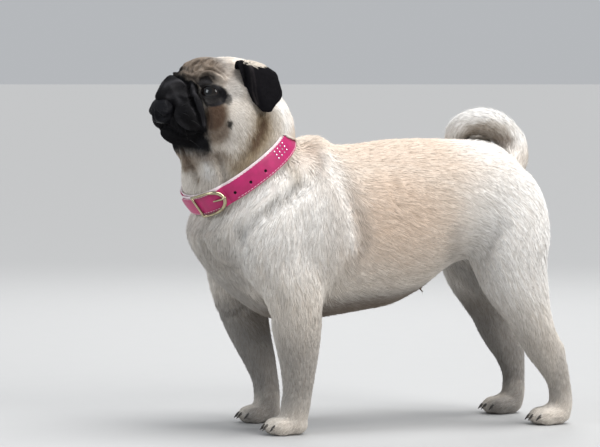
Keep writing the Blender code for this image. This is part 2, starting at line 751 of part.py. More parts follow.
def make_nose():
    """The leather pad with its two nostrils and the groove between them."""
    nose = ellipsoid("nose", NOSE_CENTRE, NOSE_HALF, HEAD, 10, 16)
    for side in (1, -1):
        hole = ellipsoid(
            "nostril",
            side_of((NOSE_CENTRE.x + 0.0088, 0.0086, NOSE_CENTRE.z - 0.0050), side),
            (0.0052, 0.0028, 0.0030),
            HEAD,
            6,
            8,
        )
        slit = ellipsoid(
            "slit",
            side_of((NOSE_CENTRE.x + 0.0055, 0.0132, NOSE_CENTRE.z - 0.0048), side),
            (0.0052, 0.0044, 0.0014),
            HEAD,
            6,
            8,
        )
        combine(nose, hole, "DIFFERENCE")
        combine(nose, slit, "DIFFERENCE")
    groove = ellipsoid(
        "groove", (NOSE_CENTRE.x + 0.0118, 0, NOSE_CENTRE.z - 0.0050), (0.0026, 0.0011, 0.0086), HEAD, 6, 6
    )
    combine(nose, groove, "DIFFERENCE")
    keep_largest(nose)
    return nose


# Tail


def make_tail():
    """A thick tail curled up, forward and down over the right hip."""
    path = (
        ((0.1580, 0.000, 0.2540), 0.0135),
        ((0.1655, 0.000, 0.2650), 0.0145),
        ((0.1660, 0.002, 0.2770), 0.0146),
        ((0.1615, 0.005, 0.2880), 0.0148),
        ((0.1545, 0.009, 0.2965), 0.0148),
        ((0.1465, 0.014, 0.3025), 0.0147),
        ((0.1375, 0.020, 0.3048), 0.0144),
        ((0.1280, 0.027, 0.3038), 0.0136),
        ((0.1203, 0.0345, 0.2990), 0.0126),
        ((0.1166, 0.042, 0.2910), 0.0116),
        ((0.1203, 0.048, 0.2828), 0.0112),
        ((0.1300, 0.0475, 0.2798), 0.0114),
        ((0.1400, 0.0415, 0.2800), 0.0114),
        ((0.1510, 0.0335, 0.2812), 0.0102),
    )
    stations = [(place, radius, radius) for place, radius in path]
    return reduce(tube("tail", stations, (0, 1, 0), points=24), 760)


# Collar


def collar_frame():
    """The collar's plane: its forward and left directions."""
    forward = (Vector((-1, 0, 0)) - COLLAR_AXIS * COLLAR_AXIS.dot(Vector((-1, 0, 0)))).normalized()
    return forward, COLLAR_AXIS.cross(forward)


def collar_direction(angle):
    """Outwards at an angle from the throat, growing towards the dog's left."""
    forward, left = collar_frame()
    return forward * math.cos(angle) + left * math.sin(angle)


def collar_radius(angle):
    """The strap's inner radius: an oval, fuller at the throat than at the nape."""
    along = COLLAR_FRONT if math.cos(angle) > 0 else COLLAR_BACK
    share = abs(math.cos(angle) / along) ** COLLAR_POWER + abs(math.sin(angle) / COLLAR_SIDE) ** COLLAR_POWER
    return share ** (-1 / COLLAR_POWER)


def strap_point(angle, out, along):
    """A point at an angle round the neck, out from the strap's inner face and along the neck's axis."""
    return COLLAR_CENTRE + collar_direction(angle) * (collar_radius(angle) + out) + COLLAR_AXIS * along


def strap_ring(name, inner, outer, half_width):
    bm = bmesh.new()
    rings = []
    for k in range(COLLAR_POINTS):
        angle = math.tau * k / COLLAR_POINTS
        corners = ((inner, -half_width), (outer, -half_width), (outer, half_width), (inner, half_width))
        rings.append([bm.verts.new(strap_point(angle, out, along)) for out, along in corners])
    close_rings(bm, rings + rings[:1])
    return object_from_bmesh(name, bm)


def strap_strip(name, inner, outer, half_width, ends):
    """A strip of strap between two angles, its first end rounded."""
    shares = TIP_SHARES + (1.0,) * STRIP_STEPS
    bm = bmesh.new()
    rings = []
    for k in range(STRIP_STEPS + 1):
        angle = ends[0] + (ends[1] - ends[0]) * k / STRIP_STEPS
        half = half_width * shares[k]
        corners = ((inner, -half), (outer, -half), (outer, half), (inner, half))
        rings.append([bm.verts.new(strap_point(angle, out, along)) for out, along in corners])
    close_rings(bm, rings)
    bm.faces.new(rings[0])
    bm.faces.new(rings[-1])
    return object_from_bmesh(name, bm)


def make_buckle(out):
    """A round-bowed wire frame standing over the strap, its straight bar and the tongue."""
    reach = BUCKLE_LENGTH / BUCKLE_RADIUS
    bow = []
    for k in range(BOW_STEPS + 1):
        turn = math.pi * (k / BOW_STEPS - 0.5)
        swell = max(0.0, math.cos(turn)) ** 0.6
        half = BUCKLE_HALF_WIDTH + BUCKLE_BULGE * math.cos(turn)
        bow.append(strap_point(BUCKLE_ANGLE + reach * BOW_REACH * swell, out, math.sin(turn) * half))
    frame = rod("collar_buckle", bow, BUCKLE_WIRE, closed=True)
    path = [strap_point(BUCKLE_ANGLE + reach * share, out + lift, 0.0) for share, lift in TONGUE_PROFILE]
    return union_of("collar_buckle", [frame, rod("tongue", path, TONGUE_WIRE)])


def make_collar():
    """The strap all round, its free end lying over it at the throat, and the buckle on top."""
    half = COLLAR_WIDTH / 2
    ring = strap_ring("collar_strap", 0.0, COLLAR_THICKNESS, half)
    second = COLLAR_THICKNESS + GAP
    end = strap_strip("collar_end", second, second + COLLAR_THICKNESS, half, FREE_END)
    buckle = make_buckle(second + COLLAR_THICKNESS + GAP + BUCKLE_WIRE)
    channel = strap_ring("channel", -GAP, COLLAR_THICKNESS + GAP, half + GAP)
    buckle_half = BUCKLE_HALF_WIDTH + BUCKLE_BULGE + BUCKLE_WIRE
    seats = [
        strap_strip("end_seat", COLLAR_THICKNESS, SEAT_DEPTH, half + GAP, END_SEAT),
        strap_strip("buckle_seat", COLLAR_THICKNESS, SEAT_DEPTH, buckle_half + GAP, BUCKLE_SEAT),
    ]
    return ring, end, buckle, [channel] + seats


# Parting the skin into its nodes


def head_planes():
    return [(HEAD @ Vector((-0.004, 0, -0.054)), HEAD.to_3x3() @ Vector((-0.42, 0, -0.90)))]


def neck_planes():
    return [(COLLAR_CENTRE, -COLLAR_AXIS), ((-0.0640, 0, 0.29), (1, 0, 0))]


def fore_leg_planes(side):
    return [
        ((-0.0900, side * 0.060, 0.1190), (0, side * -0.42, 1.0)),
        ((-0.0900, side * 0.0300, 0.0500), (0, -side, 0)),
        ((-0.0300, 0, 0), (1, 0, 0)),
        ((0, 0, 0), (0, 0, -1)),
    ]


def hind_leg_planes(side):
    return [
        ((0.1400, side * 0.050, 0.1660), (-0.62, side * -0.40, 1.0)),
        ((0.1400, side * 0.0150, 0.0500), (0, -side, 0)),
        ((0.0700, 0, 0), (-1, 0, 0)),
        ((0, 0, 0), (0, 0, -1)),
    ]


def part_off(body, name, planes, source=None):
    """Cuts one named part from the body, leaving a thin gap between the two."""
    part = source or copy_of(body, name)
    combine(part, region(name + "_space", planes), "INTERSECT")
    keep_largest(part)
    combine(body, region(name + "_wider", planes, GAP), "DIFFERENCE")
    return part


FEET = {
    "fore_leg_left": (-0.0910, -0.053, 0.0020),
    "fore_leg_right": (-0.0855, 0.053, 0.0020),
    "hind_leg_left": (0.1880, -0.052, 0.0),
    "hind_leg_right": (0.1780, 0.052, 0.0),
}


def claws(x, y, advance):
    """Four short claws, each from the tip of its toe."""
    made = []
    for toe_x, toe_y in toe_places(x, y, advance):
        start = Vector((toe_x - 0.0060, toe_y, 0.0095))
        made.append(
            tube(
                "claw",
                (
                    (start, CLAW_RADIUS, CLAW_RADIUS),
                    (start + Vector((-0.4, 0, -0.16)) * CLAW_LENGTH, CLAW_RADIUS * 0.9, CLAW_RADIUS * 0.9),
                    (start + Vector((-0.8, 0, -0.46)) * CLAW_LENGTH, CLAW_RADIUS * 0.6, CLAW_RADIUS * 0.6),
                    (start + Vector((-1.0, 0, -0.74)) * CLAW_LENGTH, CLAW_RADIUS * 0.2, CLAW_RADIUS * 0.2),
                ),
                (0, 1, 0),
                points=7,
                steps=1,
            )
        )
    return made


def material(name, colour, roughness, metallic=0.0):
    made = bpy.data.materials.new(name)
    made.use_nodes = True
    shader = made.node_tree.nodes["Principled BSDF"]
    shader.inputs["Base Color"].default_value = (*colour, 1)
    shader.inputs["Roughness"].default_value = roughness
    shader.inputs["Metallic"].default_value = metallic
    return made


def finish(obj, surface):
    obj.data.materials.clear()
    obj.data.materials.append(surface)
    obj.data.shade_smooth()
    obj.data.set_sharp_from_angle(angle=SHARP_EDGE)


def build():
    body = reduce(body_skin(), BODY_TRIANGLES)
    head = reduce(head_skin(), HEAD_TRIANGLES)
    tail = make_tail()
    strap, strap_end, buckle, cutters = make_collar()

    head = part_off(body, "head", head_planes(), head)
    neck = part_off(body, "neck", neck_planes())
    legs = {}
    for side, label in ((-1, "left"), (1, "right")):
        legs[f"fore_leg_{label}"] = part_off(body, f"fore_leg_{label}", fore_leg_planes(side))
        legs[f"hind_leg_{label}"] = part_off(body, f"hind_leg_{label}", hind_leg_planes(side))
    for part in (neck, body, head):
        for cutter in cutters:
            combine(part, copy_of(cutter, cutter.name + "_copy"), "DIFFERENCE", "MANIFOLD")
        keep_largest(part)
    remove(*cutters)
    combine(tail, grown(body), "DIFFERENCE")
    keep_largest(tail)
    for name, leg in legs.items():
        legs[name] = union_of(name, [leg] + claws(*FEET[name]))

    nose = make_nose()
    combine(head, ellipsoid("nose_seat", NOSE_CENTRE, NOSE_HALF + GAP_ROUND, HEAD, 10, 16), "DIFFERENCE")
    eyes = []
    for side, label in ((1, "left"), (-1, "right")):
        carve_eye(head, side)
        eyes.append(make_eye(f"eye_{label}", side))
    keep_largest(head)
    shell = grown(head)
    ears = []
    for side, label in ((1, "left"), (-1, "right")):
        ear = make_ear(f"ear_{label}", side)
        combine(ear, copy_of(shell, "shell"), "DIFFERENCE")
        keep_largest(ear)
        ears.append(ear)
    remove(shell)

    coat = material("coat", (0.74, 0.66, 0.56), 0.80)
    dark_coat = material("dark_coat", (0.035, 0.033, 0.035), 0.75)
    nose_leather = material("nose_leather", (0.015, 0.015, 0.017), 0.35)
    eyeball = material("eyeball", (0.020, 0.012, 0.008), 0.05)
    leather = material("collar_leather", (0.62, 0.03, 0.23), 0.45)
    metal = material("buckle_metal", (0.55, 0.52, 0.40), 0.25, 1.0)
    for obj in (head, neck, body, tail, *legs.values()):
        finish(obj, coat)
    for obj in ears:
        finish(obj, dark_coat)
    for obj in eyes:
        finish(obj, eyeball)
    finish(nose, nose_leather)
    finish(buckle, metal)
    for obj in (strap, strap_end):
        finish(obj, leather)


def stand_on_origin():
    """Moves every piece so that the middle of the underside of the whole lies at the origin."""
    made = [obj for obj in bpy.data.objects if obj.type == "MESH"]
    corners = [vertex.co for obj in made for vertex in obj.data.vertices]
    low = [min(c[axis] for c in corners) for axis in range(3)]
    high = [max(c[axis] for c in corners) for axis in range(3)]
    shift = Matrix.Translation((-(low[0] + high[0]) / 2, -(low[1] + high[1]) / 2, -low[2]))
    for obj in made:
        obj.data.transform(shift)


def clear_scene():
    for obj in list(bpy.data.objects):
        bpy.data.objects.remove(obj)


def main():
    clear_scene()
    build()
    stand_on_origin()


main()
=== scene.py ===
"""Dresses the standing pug: skin, short coat, ears, eyes, nose, claws, whiskers and the buckled collar."""

import math

import bmesh
import bpy
import numpy as np
from bpy.props import FloatProperty, FloatVectorProperty, IntProperty, PointerProperty
from mathutils import Matrix, Vector
from mathutils.bvhtree import BVHTree
from mathutils.kdtree import KDTree


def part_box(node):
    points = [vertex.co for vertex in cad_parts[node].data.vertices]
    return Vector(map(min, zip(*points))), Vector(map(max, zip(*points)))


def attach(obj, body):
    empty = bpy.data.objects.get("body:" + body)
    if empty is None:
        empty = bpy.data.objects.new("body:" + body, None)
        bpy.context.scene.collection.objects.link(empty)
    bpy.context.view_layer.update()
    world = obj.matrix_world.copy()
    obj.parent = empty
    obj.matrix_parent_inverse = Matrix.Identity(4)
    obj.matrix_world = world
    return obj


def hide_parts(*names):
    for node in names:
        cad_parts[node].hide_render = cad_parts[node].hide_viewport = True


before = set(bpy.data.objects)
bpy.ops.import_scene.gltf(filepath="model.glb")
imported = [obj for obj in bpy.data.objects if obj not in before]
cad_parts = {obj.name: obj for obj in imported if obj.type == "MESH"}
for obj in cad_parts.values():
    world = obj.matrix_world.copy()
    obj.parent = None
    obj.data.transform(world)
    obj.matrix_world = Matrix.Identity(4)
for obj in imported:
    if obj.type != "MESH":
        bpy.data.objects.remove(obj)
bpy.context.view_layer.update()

bl_info = {
    "name": "Standing pug",
    "version": (1, 0, 0),
    "blender": (4, 5, 0),
    "location": "3D View > Sidebar > Pug",
    "description": "Skin, coat, face and collar of a life-size standing pug",
    "category": "Object",
}

BODY = "root"
FLESH = (
    "head", "neck", "torso", "tail",
    "fore_leg_left", "fore_leg_right", "hind_leg_left", "hind_leg_right",
)
SIDES = (("left", 1), ("right", -1))
MM = 0.001


# Places on the head, from where the frame holds the eyes

HEAD_PITCH = math.radians(10)
EYE_IN_HEAD = Vector((0.0350, 0.0290, 0.0060))
EYE_TURN_OUT = math.radians(30)
EYE_TURN_UP = math.radians(3)
EYE_RADIUS = 11.6 * MM
NOSE_IN_HEAD = Vector((0.0715, 0.0, -0.0182))


def middle(node):
    low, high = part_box(node)
    return (low + high) / 2


def head_matrix():
    """From the head's frame (forward, left, up) to the row frame."""
    left = (middle("eye_left") - middle("eye_right")).normalized()
    level = left.cross(Vector((0, 0, 1))).normalized()
    up = Vector((0, 0, 1))
    forward = level * math.cos(HEAD_PITCH) + up * math.sin(HEAD_PITCH)
    top = up * math.cos(HEAD_PITCH) - level * math.sin(HEAD_PITCH)
    turn = Matrix((forward, left, top)).transposed()
    between_eyes = (middle("eye_left") + middle("eye_right")) / 2
    skull = between_eyes - turn @ Vector((EYE_IN_HEAD.x, 0, EYE_IN_HEAD.z))
    return Matrix.Translation(skull) @ turn.to_4x4()


HEAD = head_matrix()
INTO_HEAD = HEAD.inverted()
SKULL = HEAD.translation


def side_of(place, side):
    """A place given for the left side, or its mirror image for side -1."""
    return Vector((place[0], place[1] * side, place[2]))


def in_head(points):
    """Row-frame points as the head's (forward, sideways from the middle, up)."""
    turned = points @ np.array(INTO_HEAD.to_3x3()).T + np.array(INTO_HEAD.translation)
    turned[:, 1] = np.abs(turned[:, 1])
    return turned


# Making meshes


def deselect():
    bpy.ops.object.select_all(action="DESELECT")


def only(obj):
    deselect()
    obj.select_set(True)
    bpy.context.view_layer.objects.active = obj
    return obj


def apply_modifier(obj, kind, **settings):
    only(obj)
    made = obj.modifiers.new(kind.lower(), kind)
    for key, value in settings.items():
        setattr(made, key, value)
    bpy.ops.object.modifier_apply(modifier=made.name)
    return obj


def join(pieces, name):
    """One object from several, under a name of its own."""
    only(pieces[0])
    for piece in pieces:
        piece.select_set(True)
    if len(pieces) > 1:
        bpy.ops.object.join()
    pieces[0].name = name
    return pieces[0]


def finish_piece(obj, material=None, replaces=(), smooth=True):
    """Shades a piece, gives it its material and lets it ride on the body."""
    if smooth:
        obj.data.shade_smooth()
    if material:
        obj.data.materials.clear()
        obj.data.materials.append(material)
    if replaces:
        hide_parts(*replaces)
    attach(obj, BODY)
    return obj


def new_object(name, mesh):
    made = bpy.data.objects.new(name, mesh)
    bpy.context.scene.collection.objects.link(made)
    return made


def mesh_from_arrays(name, points, faces):
    """An object from arrays of points and of faces that all have the same number of corners."""
    mesh = bpy.data.meshes.new(name)
    count, corners = faces.shape
    mesh.vertices.add(len(points))
    mesh.vertices.foreach_set("co", points.astype(np.float32).ravel())
    mesh.loops.add(count * corners)
    mesh.loops.foreach_set("vertex_index", faces.astype(np.int32).ravel())
    mesh.polygons.add(count)
    mesh.polygons.foreach_set("loop_start", np.arange(0, count * corners, corners, dtype=np.int32))
    mesh.update(calc_edges=True)
    return new_object(name, mesh)


def vectors_of(collection, key):
    out = np.empty(len(collection) * 3, np.float32)
    collection.foreach_get(key, out)
    return out.reshape(-1, 3).astype(float)


def points_of(mesh):
    return vectors_of(mesh.vertices, "co")


def normals_of(mesh):
    return vectors_of(mesh.vertex_normals, "vector")


def put_points(mesh, points):
    mesh.vertices.foreach_set("co", points.astype(np.float32).ravel())
    mesh.update()


def unit(vectors):
    return vectors / np.maximum(np.linalg.norm(vectors, axis=-1, keepdims=True), 1e-12)


def smooth_path(points, steps):
    """Points along a smooth curve through a few given ones."""
    given = [np.array(p, float) for p in points]
    given = [2 * given[0] - given[1]] + given + [2 * given[-1] - given[-2]]
    out = []
    for a, b, c, d in zip(given, given[1:], given[2:], given[3:]):
        for k in range(steps):
            t = k / steps
            bend = (2 * a - 5 * b + 4 * c - d) * t * t + (3 * b - a - 3 * c + d) * t**3
            out.append(0.5 * (2 * b + (c - a) * t + bend))
    return np.array(out + [given[-2]])


def copy_of_nodes(nodes, name, swell=0.0):
    """One merged copy of some solids of the frame, each a little swollen so that they meet."""
    copies = []
    for node in nodes:
        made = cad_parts[node].copy()
        made.data = made.data.copy()
        made.parent = None
        for key in list(made.keys()):
            del made[key]
        bpy.context.scene.collection.objects.link(made)
        bm = bmesh.new()
        bm.from_mesh(made.data)
        bmesh.ops.remove_doubles(bm, verts=bm.verts, dist=0.01 * MM)
        bm.normal_update()
        for vertex in bm.verts:
            vertex.co += vertex.normal * swell
        bm.to_mesh(made.data)
        bm.free()
        copies.append(made)
    joined = join(copies, name)
    joined.data.name = name
    return joined


def tube(name, path, radii, sides=8, flat=1.0, side=None):
    """A closed round tube along a path; its two ends are drawn together."""
    path = np.array(path, float)
    radii = np.broadcast_to(radii, len(path))
    along = unit(np.gradient(path, axis=0))
    reference = np.array(side if side is not None else (0.0, 1.0, 0.0))
    across = unit(reference - along * (along @ reference)[:, None])
    other = np.cross(along, across)
    turn = np.linspace(0, math.tau, sides, endpoint=False)
    cosine, sine = np.cos(turn)[None, :, None], np.sin(turn)[None, :, None]
    ring = across[:, None] * cosine + other[:, None] * sine * flat
    rings = path[:, None] + ring * radii[:, None, None]
    points = np.concatenate([rings.reshape(-1, 3), path[:1], path[-1:]])
    return closed_loft(name, points, len(path), sides)


def closed_loft(name, points, rows, sides):
    """A mesh from rows of ring points, closed by a fan to each of two last points."""
    k = np.arange(sides)
    follow = (k + 1) % sides
    faces = []
    for row in range(rows - 1):
        a, b = row * sides, (row + 1) * sides
        faces += [[a + i, a + j, b + j] for i, j in zip(k, follow)]
        faces += [[a + i, b + j, b + i] for i, j in zip(k, follow)]
    start, end, last = rows * sides, rows * sides + 1, (rows - 1) * sides
    faces += [[start, j, i] for i, j in zip(k, follow)]
    faces += [[end, last + i, last + j] for i, j in zip(k, follow)]
    made = mesh_from_arrays(name, points, np.array(faces))
    turn_outwards(made)
    return made


def closed_ring(name, points, rows, sides):
    """A mesh from rows of ring points, whose last row meets the first."""
    i = np.arange(rows)[:, None] * sides
    j = (np.arange(rows)[:, None] + 1) % rows * sides
    k, follow = np.arange(sides)[None], (np.arange(sides)[None] + 1) % sides
    faces = np.stack([i + k, i + follow, j + follow, j + k], 2).reshape(-1, 4)
    made = mesh_from_arrays(name, points, faces)
    turn_outwards(made)
    return made


def turn_outwards(obj):
    bm = bmesh.new()
    bm.from_mesh(obj.data)
    bmesh.ops.recalc_face_normals(bm, faces=bm.faces)
    bm.to_mesh(obj.data)
    bm.free()


def surface_tree(mesh):
    return BVHTree.FromPolygons([v.co for v in mesh.vertices], [p.vertices for p in mesh.polygons])


def keep_largest(obj):
    """Drops every closed surface of a mesh but the largest."""
    bm = bmesh.new()
    bm.from_mesh(obj.data)
    unseen = set(bm.verts)
    shells = []
    while unseen:
        stack = [unseen.pop()]
        shell = []
        while stack:
            vertex = stack.pop()
            shell.append(vertex)
            for edge in vertex.link_edges:
                other = edge.other_vert(vertex)
                if other in unseen:
                    unseen.remove(other)
                    stack.append(other)
        shells.append(shell)
    shells.sort(key=len)
    scraps = [vertex for shell in shells[:-1] for vertex in shell]
    bmesh.ops.delete(bm, geom=scraps, context="VERTS")
    bm.to_mesh(obj.data)
    bm.free()


# Soft-edged regions, worked out for arrays of points


def fade(values, low, high):
    """0 at low, 1 at high, and smooth between; low may be the larger."""
    share = np.clip((values - low) / (high - low), 0, 1)
    return share * share * (3 - 2 * share)


def blob(points, centre, radii, soft):
    """1 inside an ellipsoid and 0 outside it, its edge soft over a share of its size."""
    reach = np.linalg.norm((points - np.array(centre)) / np.array(radii), axis=1)
    return fade(reach, 1 + soft / 2, 1 - soft / 2)


def band(points, path, width):
    """1 on a smooth path and fading away from it over a width."""
    line = smooth_path(path, 6)
    best = np.full(len(points), 1e9)
    for place in line:
        best = np.minimum(best, ((points - place) ** 2).sum(1))
    return np.exp(-best / width**2)


def tenths(numbers):
    """Places in metres from a run of numbers in tenths of a millimetre, three for each place."""
    return np.array(numbers).reshape(-1, 3) / 10000


def mirrored(points):
    """Body points with the right side folded onto the left, which is -Y."""
    out = points.copy()
    out[:, 1] = -np.abs(out[:, 1])
    return out


# Markings

# In the tables, places, widths and lifts are whole tenths of a millimetre, and strengths are hundredths.
# Frames: "head" and "face" are the head's, "face" ends at the neck, "body" is the row's with its right
# side folded onto the left, and "row" is the row's.

MASK_EDGE = (
    # (height in the head, how far forward the black mask ends there)
    (-560, 350), (-490, 335), (-350, 375), (-300, 386), (-163, 412), (-4, 450), (80, 468), (112, 485),
    (150, 530), (200, 600),
)

# Paths that a colour and a fold share, in the head's frame
FROWN = (534, 235, 171, 524, 242, 222, 481, 253, 264, 423, 282, 290, 387, 367, 271, 346, 424, 239)
OUTER_FOLD = (551, 187, 227, 508, 168, 294, 440, 125, 361, 375, 117, 402)
INNER_FOLD = (568, 133, 234, 516, 76, 303, 473, 83, 360)
BROW_FOLD = (412, 275, 311, 355, 215, 371, 274, 158, 410)
TEMPLE_LINE = (367, 294, 319, 323, 347, 287, 279, 406, 236)
CROWN_LINE = (301, 290, 341, 234, 260, 372, 205, 291, 368)
CHEEK_RIDGE = (555, 190, 110, 515, 265, -10, 478, 320, -130, 440, 350, -250)
CHEEK_LINE = (
    -81, 541, -57, -54, 567, -180, -9, 585, -305, 27, 570, -440, 91, 561, -559, 168, 501, -701,
)
NECK_LINE = (-89, 600, -45, -100, 565, -141, -66, 576, -265, -17, 582, -391)
NECK_BAND = (-84, 550, -106, -94, 570, -223, -63, 582, -346, 11, 597, -486, 85, 571, -626)

# The same in the row frame
THROAT_LINE = (-1822, -86, 2793, -1786, -103, 2695, -1761, -194, 2609, -1716, -252, 2532)
THROAT_FOLD = (-1581, -487, 2743, -1556, -503, 2636, -1522, -526, 2530)
DEWLAP = (-1691, -375, 2780, -1650, -410, 2683, -1650, -409, 2586)
SHOULDER_CREASE = (-805, -649, 2487, -914, -732, 2316, -1179, -764, 2175, -1394, -637, 1978)
ELBOW_CREASE = (-1101, -414, 1321, -1023, -450, 1212, -1066, -663, 1124)
TEAT = (610, -300, 1360)

# Path of a painted highlight that lightens the black along the lower lid
LOWER_LID_HIGHLIGHT = (463, 276, -5, 420, 355, -30, 350, 430, -10)
SOCKET = tenths((385, 365, 35, 135, 160, 115))
FAR_BROW_BLACK = tenths((560, -220, 215, 160, 210, 90))
WRINKLE_SPREAD = 1.3
RIDGE_HIGHLIGHT_SPREAD = 1.6
WRINKLES = (
    # (width, strength, path) of the dark lines on the forehead, dark hair and painted shade in its
    # creases, in the head's frame
    (15, 80, *FROWN),
    (30, 95, 499, 308, 197, 490, 370, 209, 455, 412, 195),
    (17, 85, *OUTER_FOLD),
    (18, 85, *INNER_FOLD),
    (16, 65, *BROW_FOLD),
    (19, 85, 552, 0, 267, 570, 112, 244, 555, 170, 237),
    (20, 90, 595, 0, 195, 590, 100, 175, 560, 160, 166),
    (30, 90, 546, 217, 169, 529, 256, 142, 506, 246, 107),
    (18, 40, *TEMPLE_LINE),
    (22, 35, *CROWN_LINE),
    (22, 25, 330, 60, 425, 250, 100, 430, 150, 120, 440),
)
PAINTED_RIDGE_HIGHLIGHTS = (
    # (width, path) of the painted highlights on lit ridges in the black of the face, in the head's frame
    (13, 590, 150, 160, 585, 210, 50, 560, 255, -60, 530, 300, -160),
    (15, *CHEEK_RIDGE),
    (22, 740, 40, 60, 700, 110, 90, 640, 140, 120),
    (16, 740, 110, -40, 690, 165, -30, 640, 215, -110),
    (14, 680, 200, -180, 650, 260, -270, 580, 290, -315),
    (24, 463, 276, -15, 420, 355, -40, 350, 430, -20),
    (12, 500, 260, 130, 450, 340, 160, 370, 400, 120),
)
CREASES = (
    # (width, strength, path) of the shaded folds on neck, shoulder and flank, left side
    (50, 35, *SHOULDER_CREASE),
    (85, 12, -360, -700, 2520, -280, -820, 2150, -230, -840, 1870, -360, -780, 1500, -600, -620, 1220),
    (55, 35, -1600, -300, 1900, -1500, -400, 1650, -1360, -480, 1450),
    (50, 35, *ELBOW_CREASE),
    (100, 30, 799, -743, 1995, 789, -687, 1843, 829, -528, 1684),
    (30, 60, *THROAT_FOLD),
)
SPOTS = {
    # (frame, middle, radii, softness and strength in hundredths)
    "black": (
        ("head", 670, 0, 80, 150, 190, 150, 30, 100), ("head", 475, 315, 145, 62, 100, 80, 40, 95),
        ("head", 290, 465, 20, 40, 60, 70, 60, 80), ("head", 258, 541, -217, 26, 60, 42, 60, 90),
    ),
    "brown": (
        ("face", 375, 440, -165, 100, 160, 165, 80, 86),
        ("face", 340, 460, -290, 100, 160, 150, 90, 60), ("face", 480, 160, 270, 200, 300, 180, 80, 42),
        ("face", 270, 400, -560, 140, 160, 90, 90, 35), ("face", 370, 300, -560, 120, 200, 60, 90, 45),
        # Painted shade in and under the tail's curl
        ("row", 1500, 160, 2910, 260, 280, 115, 80, 28), ("row", 1600, -80, 2800, 110, 200, 70, 90, 45),
        # The teat, then painted shade under the belly
        ("body", *TEAT, 40, 40, 50, 90, 90), ("body", 200, 0, 1120, 1300, 700, 290, 70, 35),
        ("head", 360, 0, -620, 180, 200, 90, 90, 60),
    ),
    "tan": (
        ("head", -250, 560, -120, 100, 200, 160, 90, 40),
        # Painted shade inside the tail's curl
        ("row", 1500, 160, 2910, 270, 300, 125, 90, 45),
    ),
    "apricot": (
        ("body", 450, -200, 2750, 1150, 750, 500, 140, 62),
        ("body", 150, -800, 2200, 650, 550, 550, 140, 75),
        ("body", -680, -400, 2750, 220, 400, 200, 120, 55),
        ("head", 300, 350, 300, 300, 300, 200, 120, 35),
    ),
    "white": (
        ("face", 80, 560, -280, 210, 220, 280, 70, 40),
        ("face", -420, 400, -60, 220, 400, 260, 100, 95), ("face", 230, 450, 120, 80, 150, 120, 90, 50),
        ("body", -950, -700, 2150, 600, 550, 600, 120, 90),
        ("body", 1550, -650, 2000, 600, 650, 800, 110, 100),
        ("body", 1400, -300, 2800, 450, 550, 280, 120, 80),
        ("row", 1550, 150, 3000, 500, 600, 350, 50, 100),
    ),
    "grey": (
        ("face", 160, 440, 240, 150, 180, 240, 90, 45), ("face", 440, 160, 320, 240, 330, 210, 80, 80),
        # Painted shade low on the chest, which is partly its own grey there, and under the belly
        ("body", -1450, -200, 1700, 350, 400, 500, 90, 50),
        ("body", 100, 0, 1150, 1300, 760, 320, 70, 85),
    ),
}
LINES = {
    # (frame, width, strength, path)
    "brown": (
        # The neck line is the neck's own dark brown hair; the cheek line and the throat's line and fold
        # are painted shade in their grooves
        ("face", 45, 95, *NECK_LINE), ("face", 30, 75, *CHEEK_LINE), ("body", 42, 95, *THROAT_LINE),
        ("body", 36, 70, *THROAT_FOLD),
    ),
    "tan": (
        ("head", 150, 88, *NECK_BAND),
        ("body", 70, 40, -860, -501, 2698, -825, -566, 2621, -800, -638, 2545),
    ),
    "white": (
        ("body", 70, 95, *DEWLAP),
        ("body", 130, 80, -460, -550, 2750, -400, -800, 2350, -340, -860, 1900),
    ),
}


def marks(kind, places, on_head):
    """Every spot and line of one pigment, for points that are given in each frame."""
    out = []
    for where, *numbers, soft, strength in SPOTS[kind]:
        made = blob(places[where], *tenths(numbers), soft / 100) * (strength / 100)
        out.append(made * on_head if where == "face" else made)
    for where, width, strength, *path in LINES.get(kind, ()):
        made = band(places[where], tenths(path), width / 10000) * (strength / 100)
        out.append(made * on_head if where == "face" else made)
    return out


def strongest(kind, places, on_head, others=()):
    return np.maximum.reduce([*marks(kind, places, on_head), *others])


def black_marks(points, h):
    """The mask, the roll over the nose, the eyes' surroundings with a painted highlight along the lower
    lids, and the dark wrinkles, dark hair with painted shade in the forehead's creases.
    """
    edge = np.interp(h[:, 2], *np.array(MASK_EDGE).T / 10000)
    muzzle = fade(h[:, 0] - edge, -0.0024, 0.0024)
    muzzle *= fade(h[:, 2], 0.0175, 0.0140) * fade(h[:, 2], -0.0620, -0.0470) * (h[:, 0] > 0)
    far_middle, far_radii = FAR_BROW_BLACK
    marked = [muzzle, blob(points, HEAD @ Vector(far_middle), far_radii, 0.4) * 0.93]
    marked.append(blob(h, *SOCKET, 0.30) * (1 - 0.10 * band(h, tenths(LOWER_LID_HIGHLIGHT), 0.0028)))
    for width, strength, *path in WRINKLES:
        marked.append(band(h, tenths(path), width / 10000 * WRINKLE_SPREAD) * (strength / 100))
    return marked


def grey_and_shade_marks(points, body):
    """Painted shade on the lower legs, elbows, hocks and belly, on the legs' inner and far sides and in
    the creases; the lower legs are also a little grey in their own colour.
    """
    x, y, z = points.T
    below = fade(z, 0.150, 0.110)
    marked = [
        fade(z, 0.135, 0.070) * (0.58 - 0.25 * (x > 0)) * fade(z, 0.010, 0.042),
        below * fade(body[:, 1], -0.055, -0.035) * 0.80,
        fade(y, 0.020, 0.035) * below * fade(z, 0.010, 0.042) * 0.80,
        fade(z, 0.100, 0.060) * fade(x, 0.175, 0.200) * 0.55 * fade(z, 0.012, 0.040),
        fade(z, 0.175, 0.150) * fade(np.abs(y), 0.040, 0.025) * 0.60,
    ]
    for width, strength, *path in CREASES:
        marked.append(band(body, tenths(path), width / 10000) * (strength / 100))
    return marked


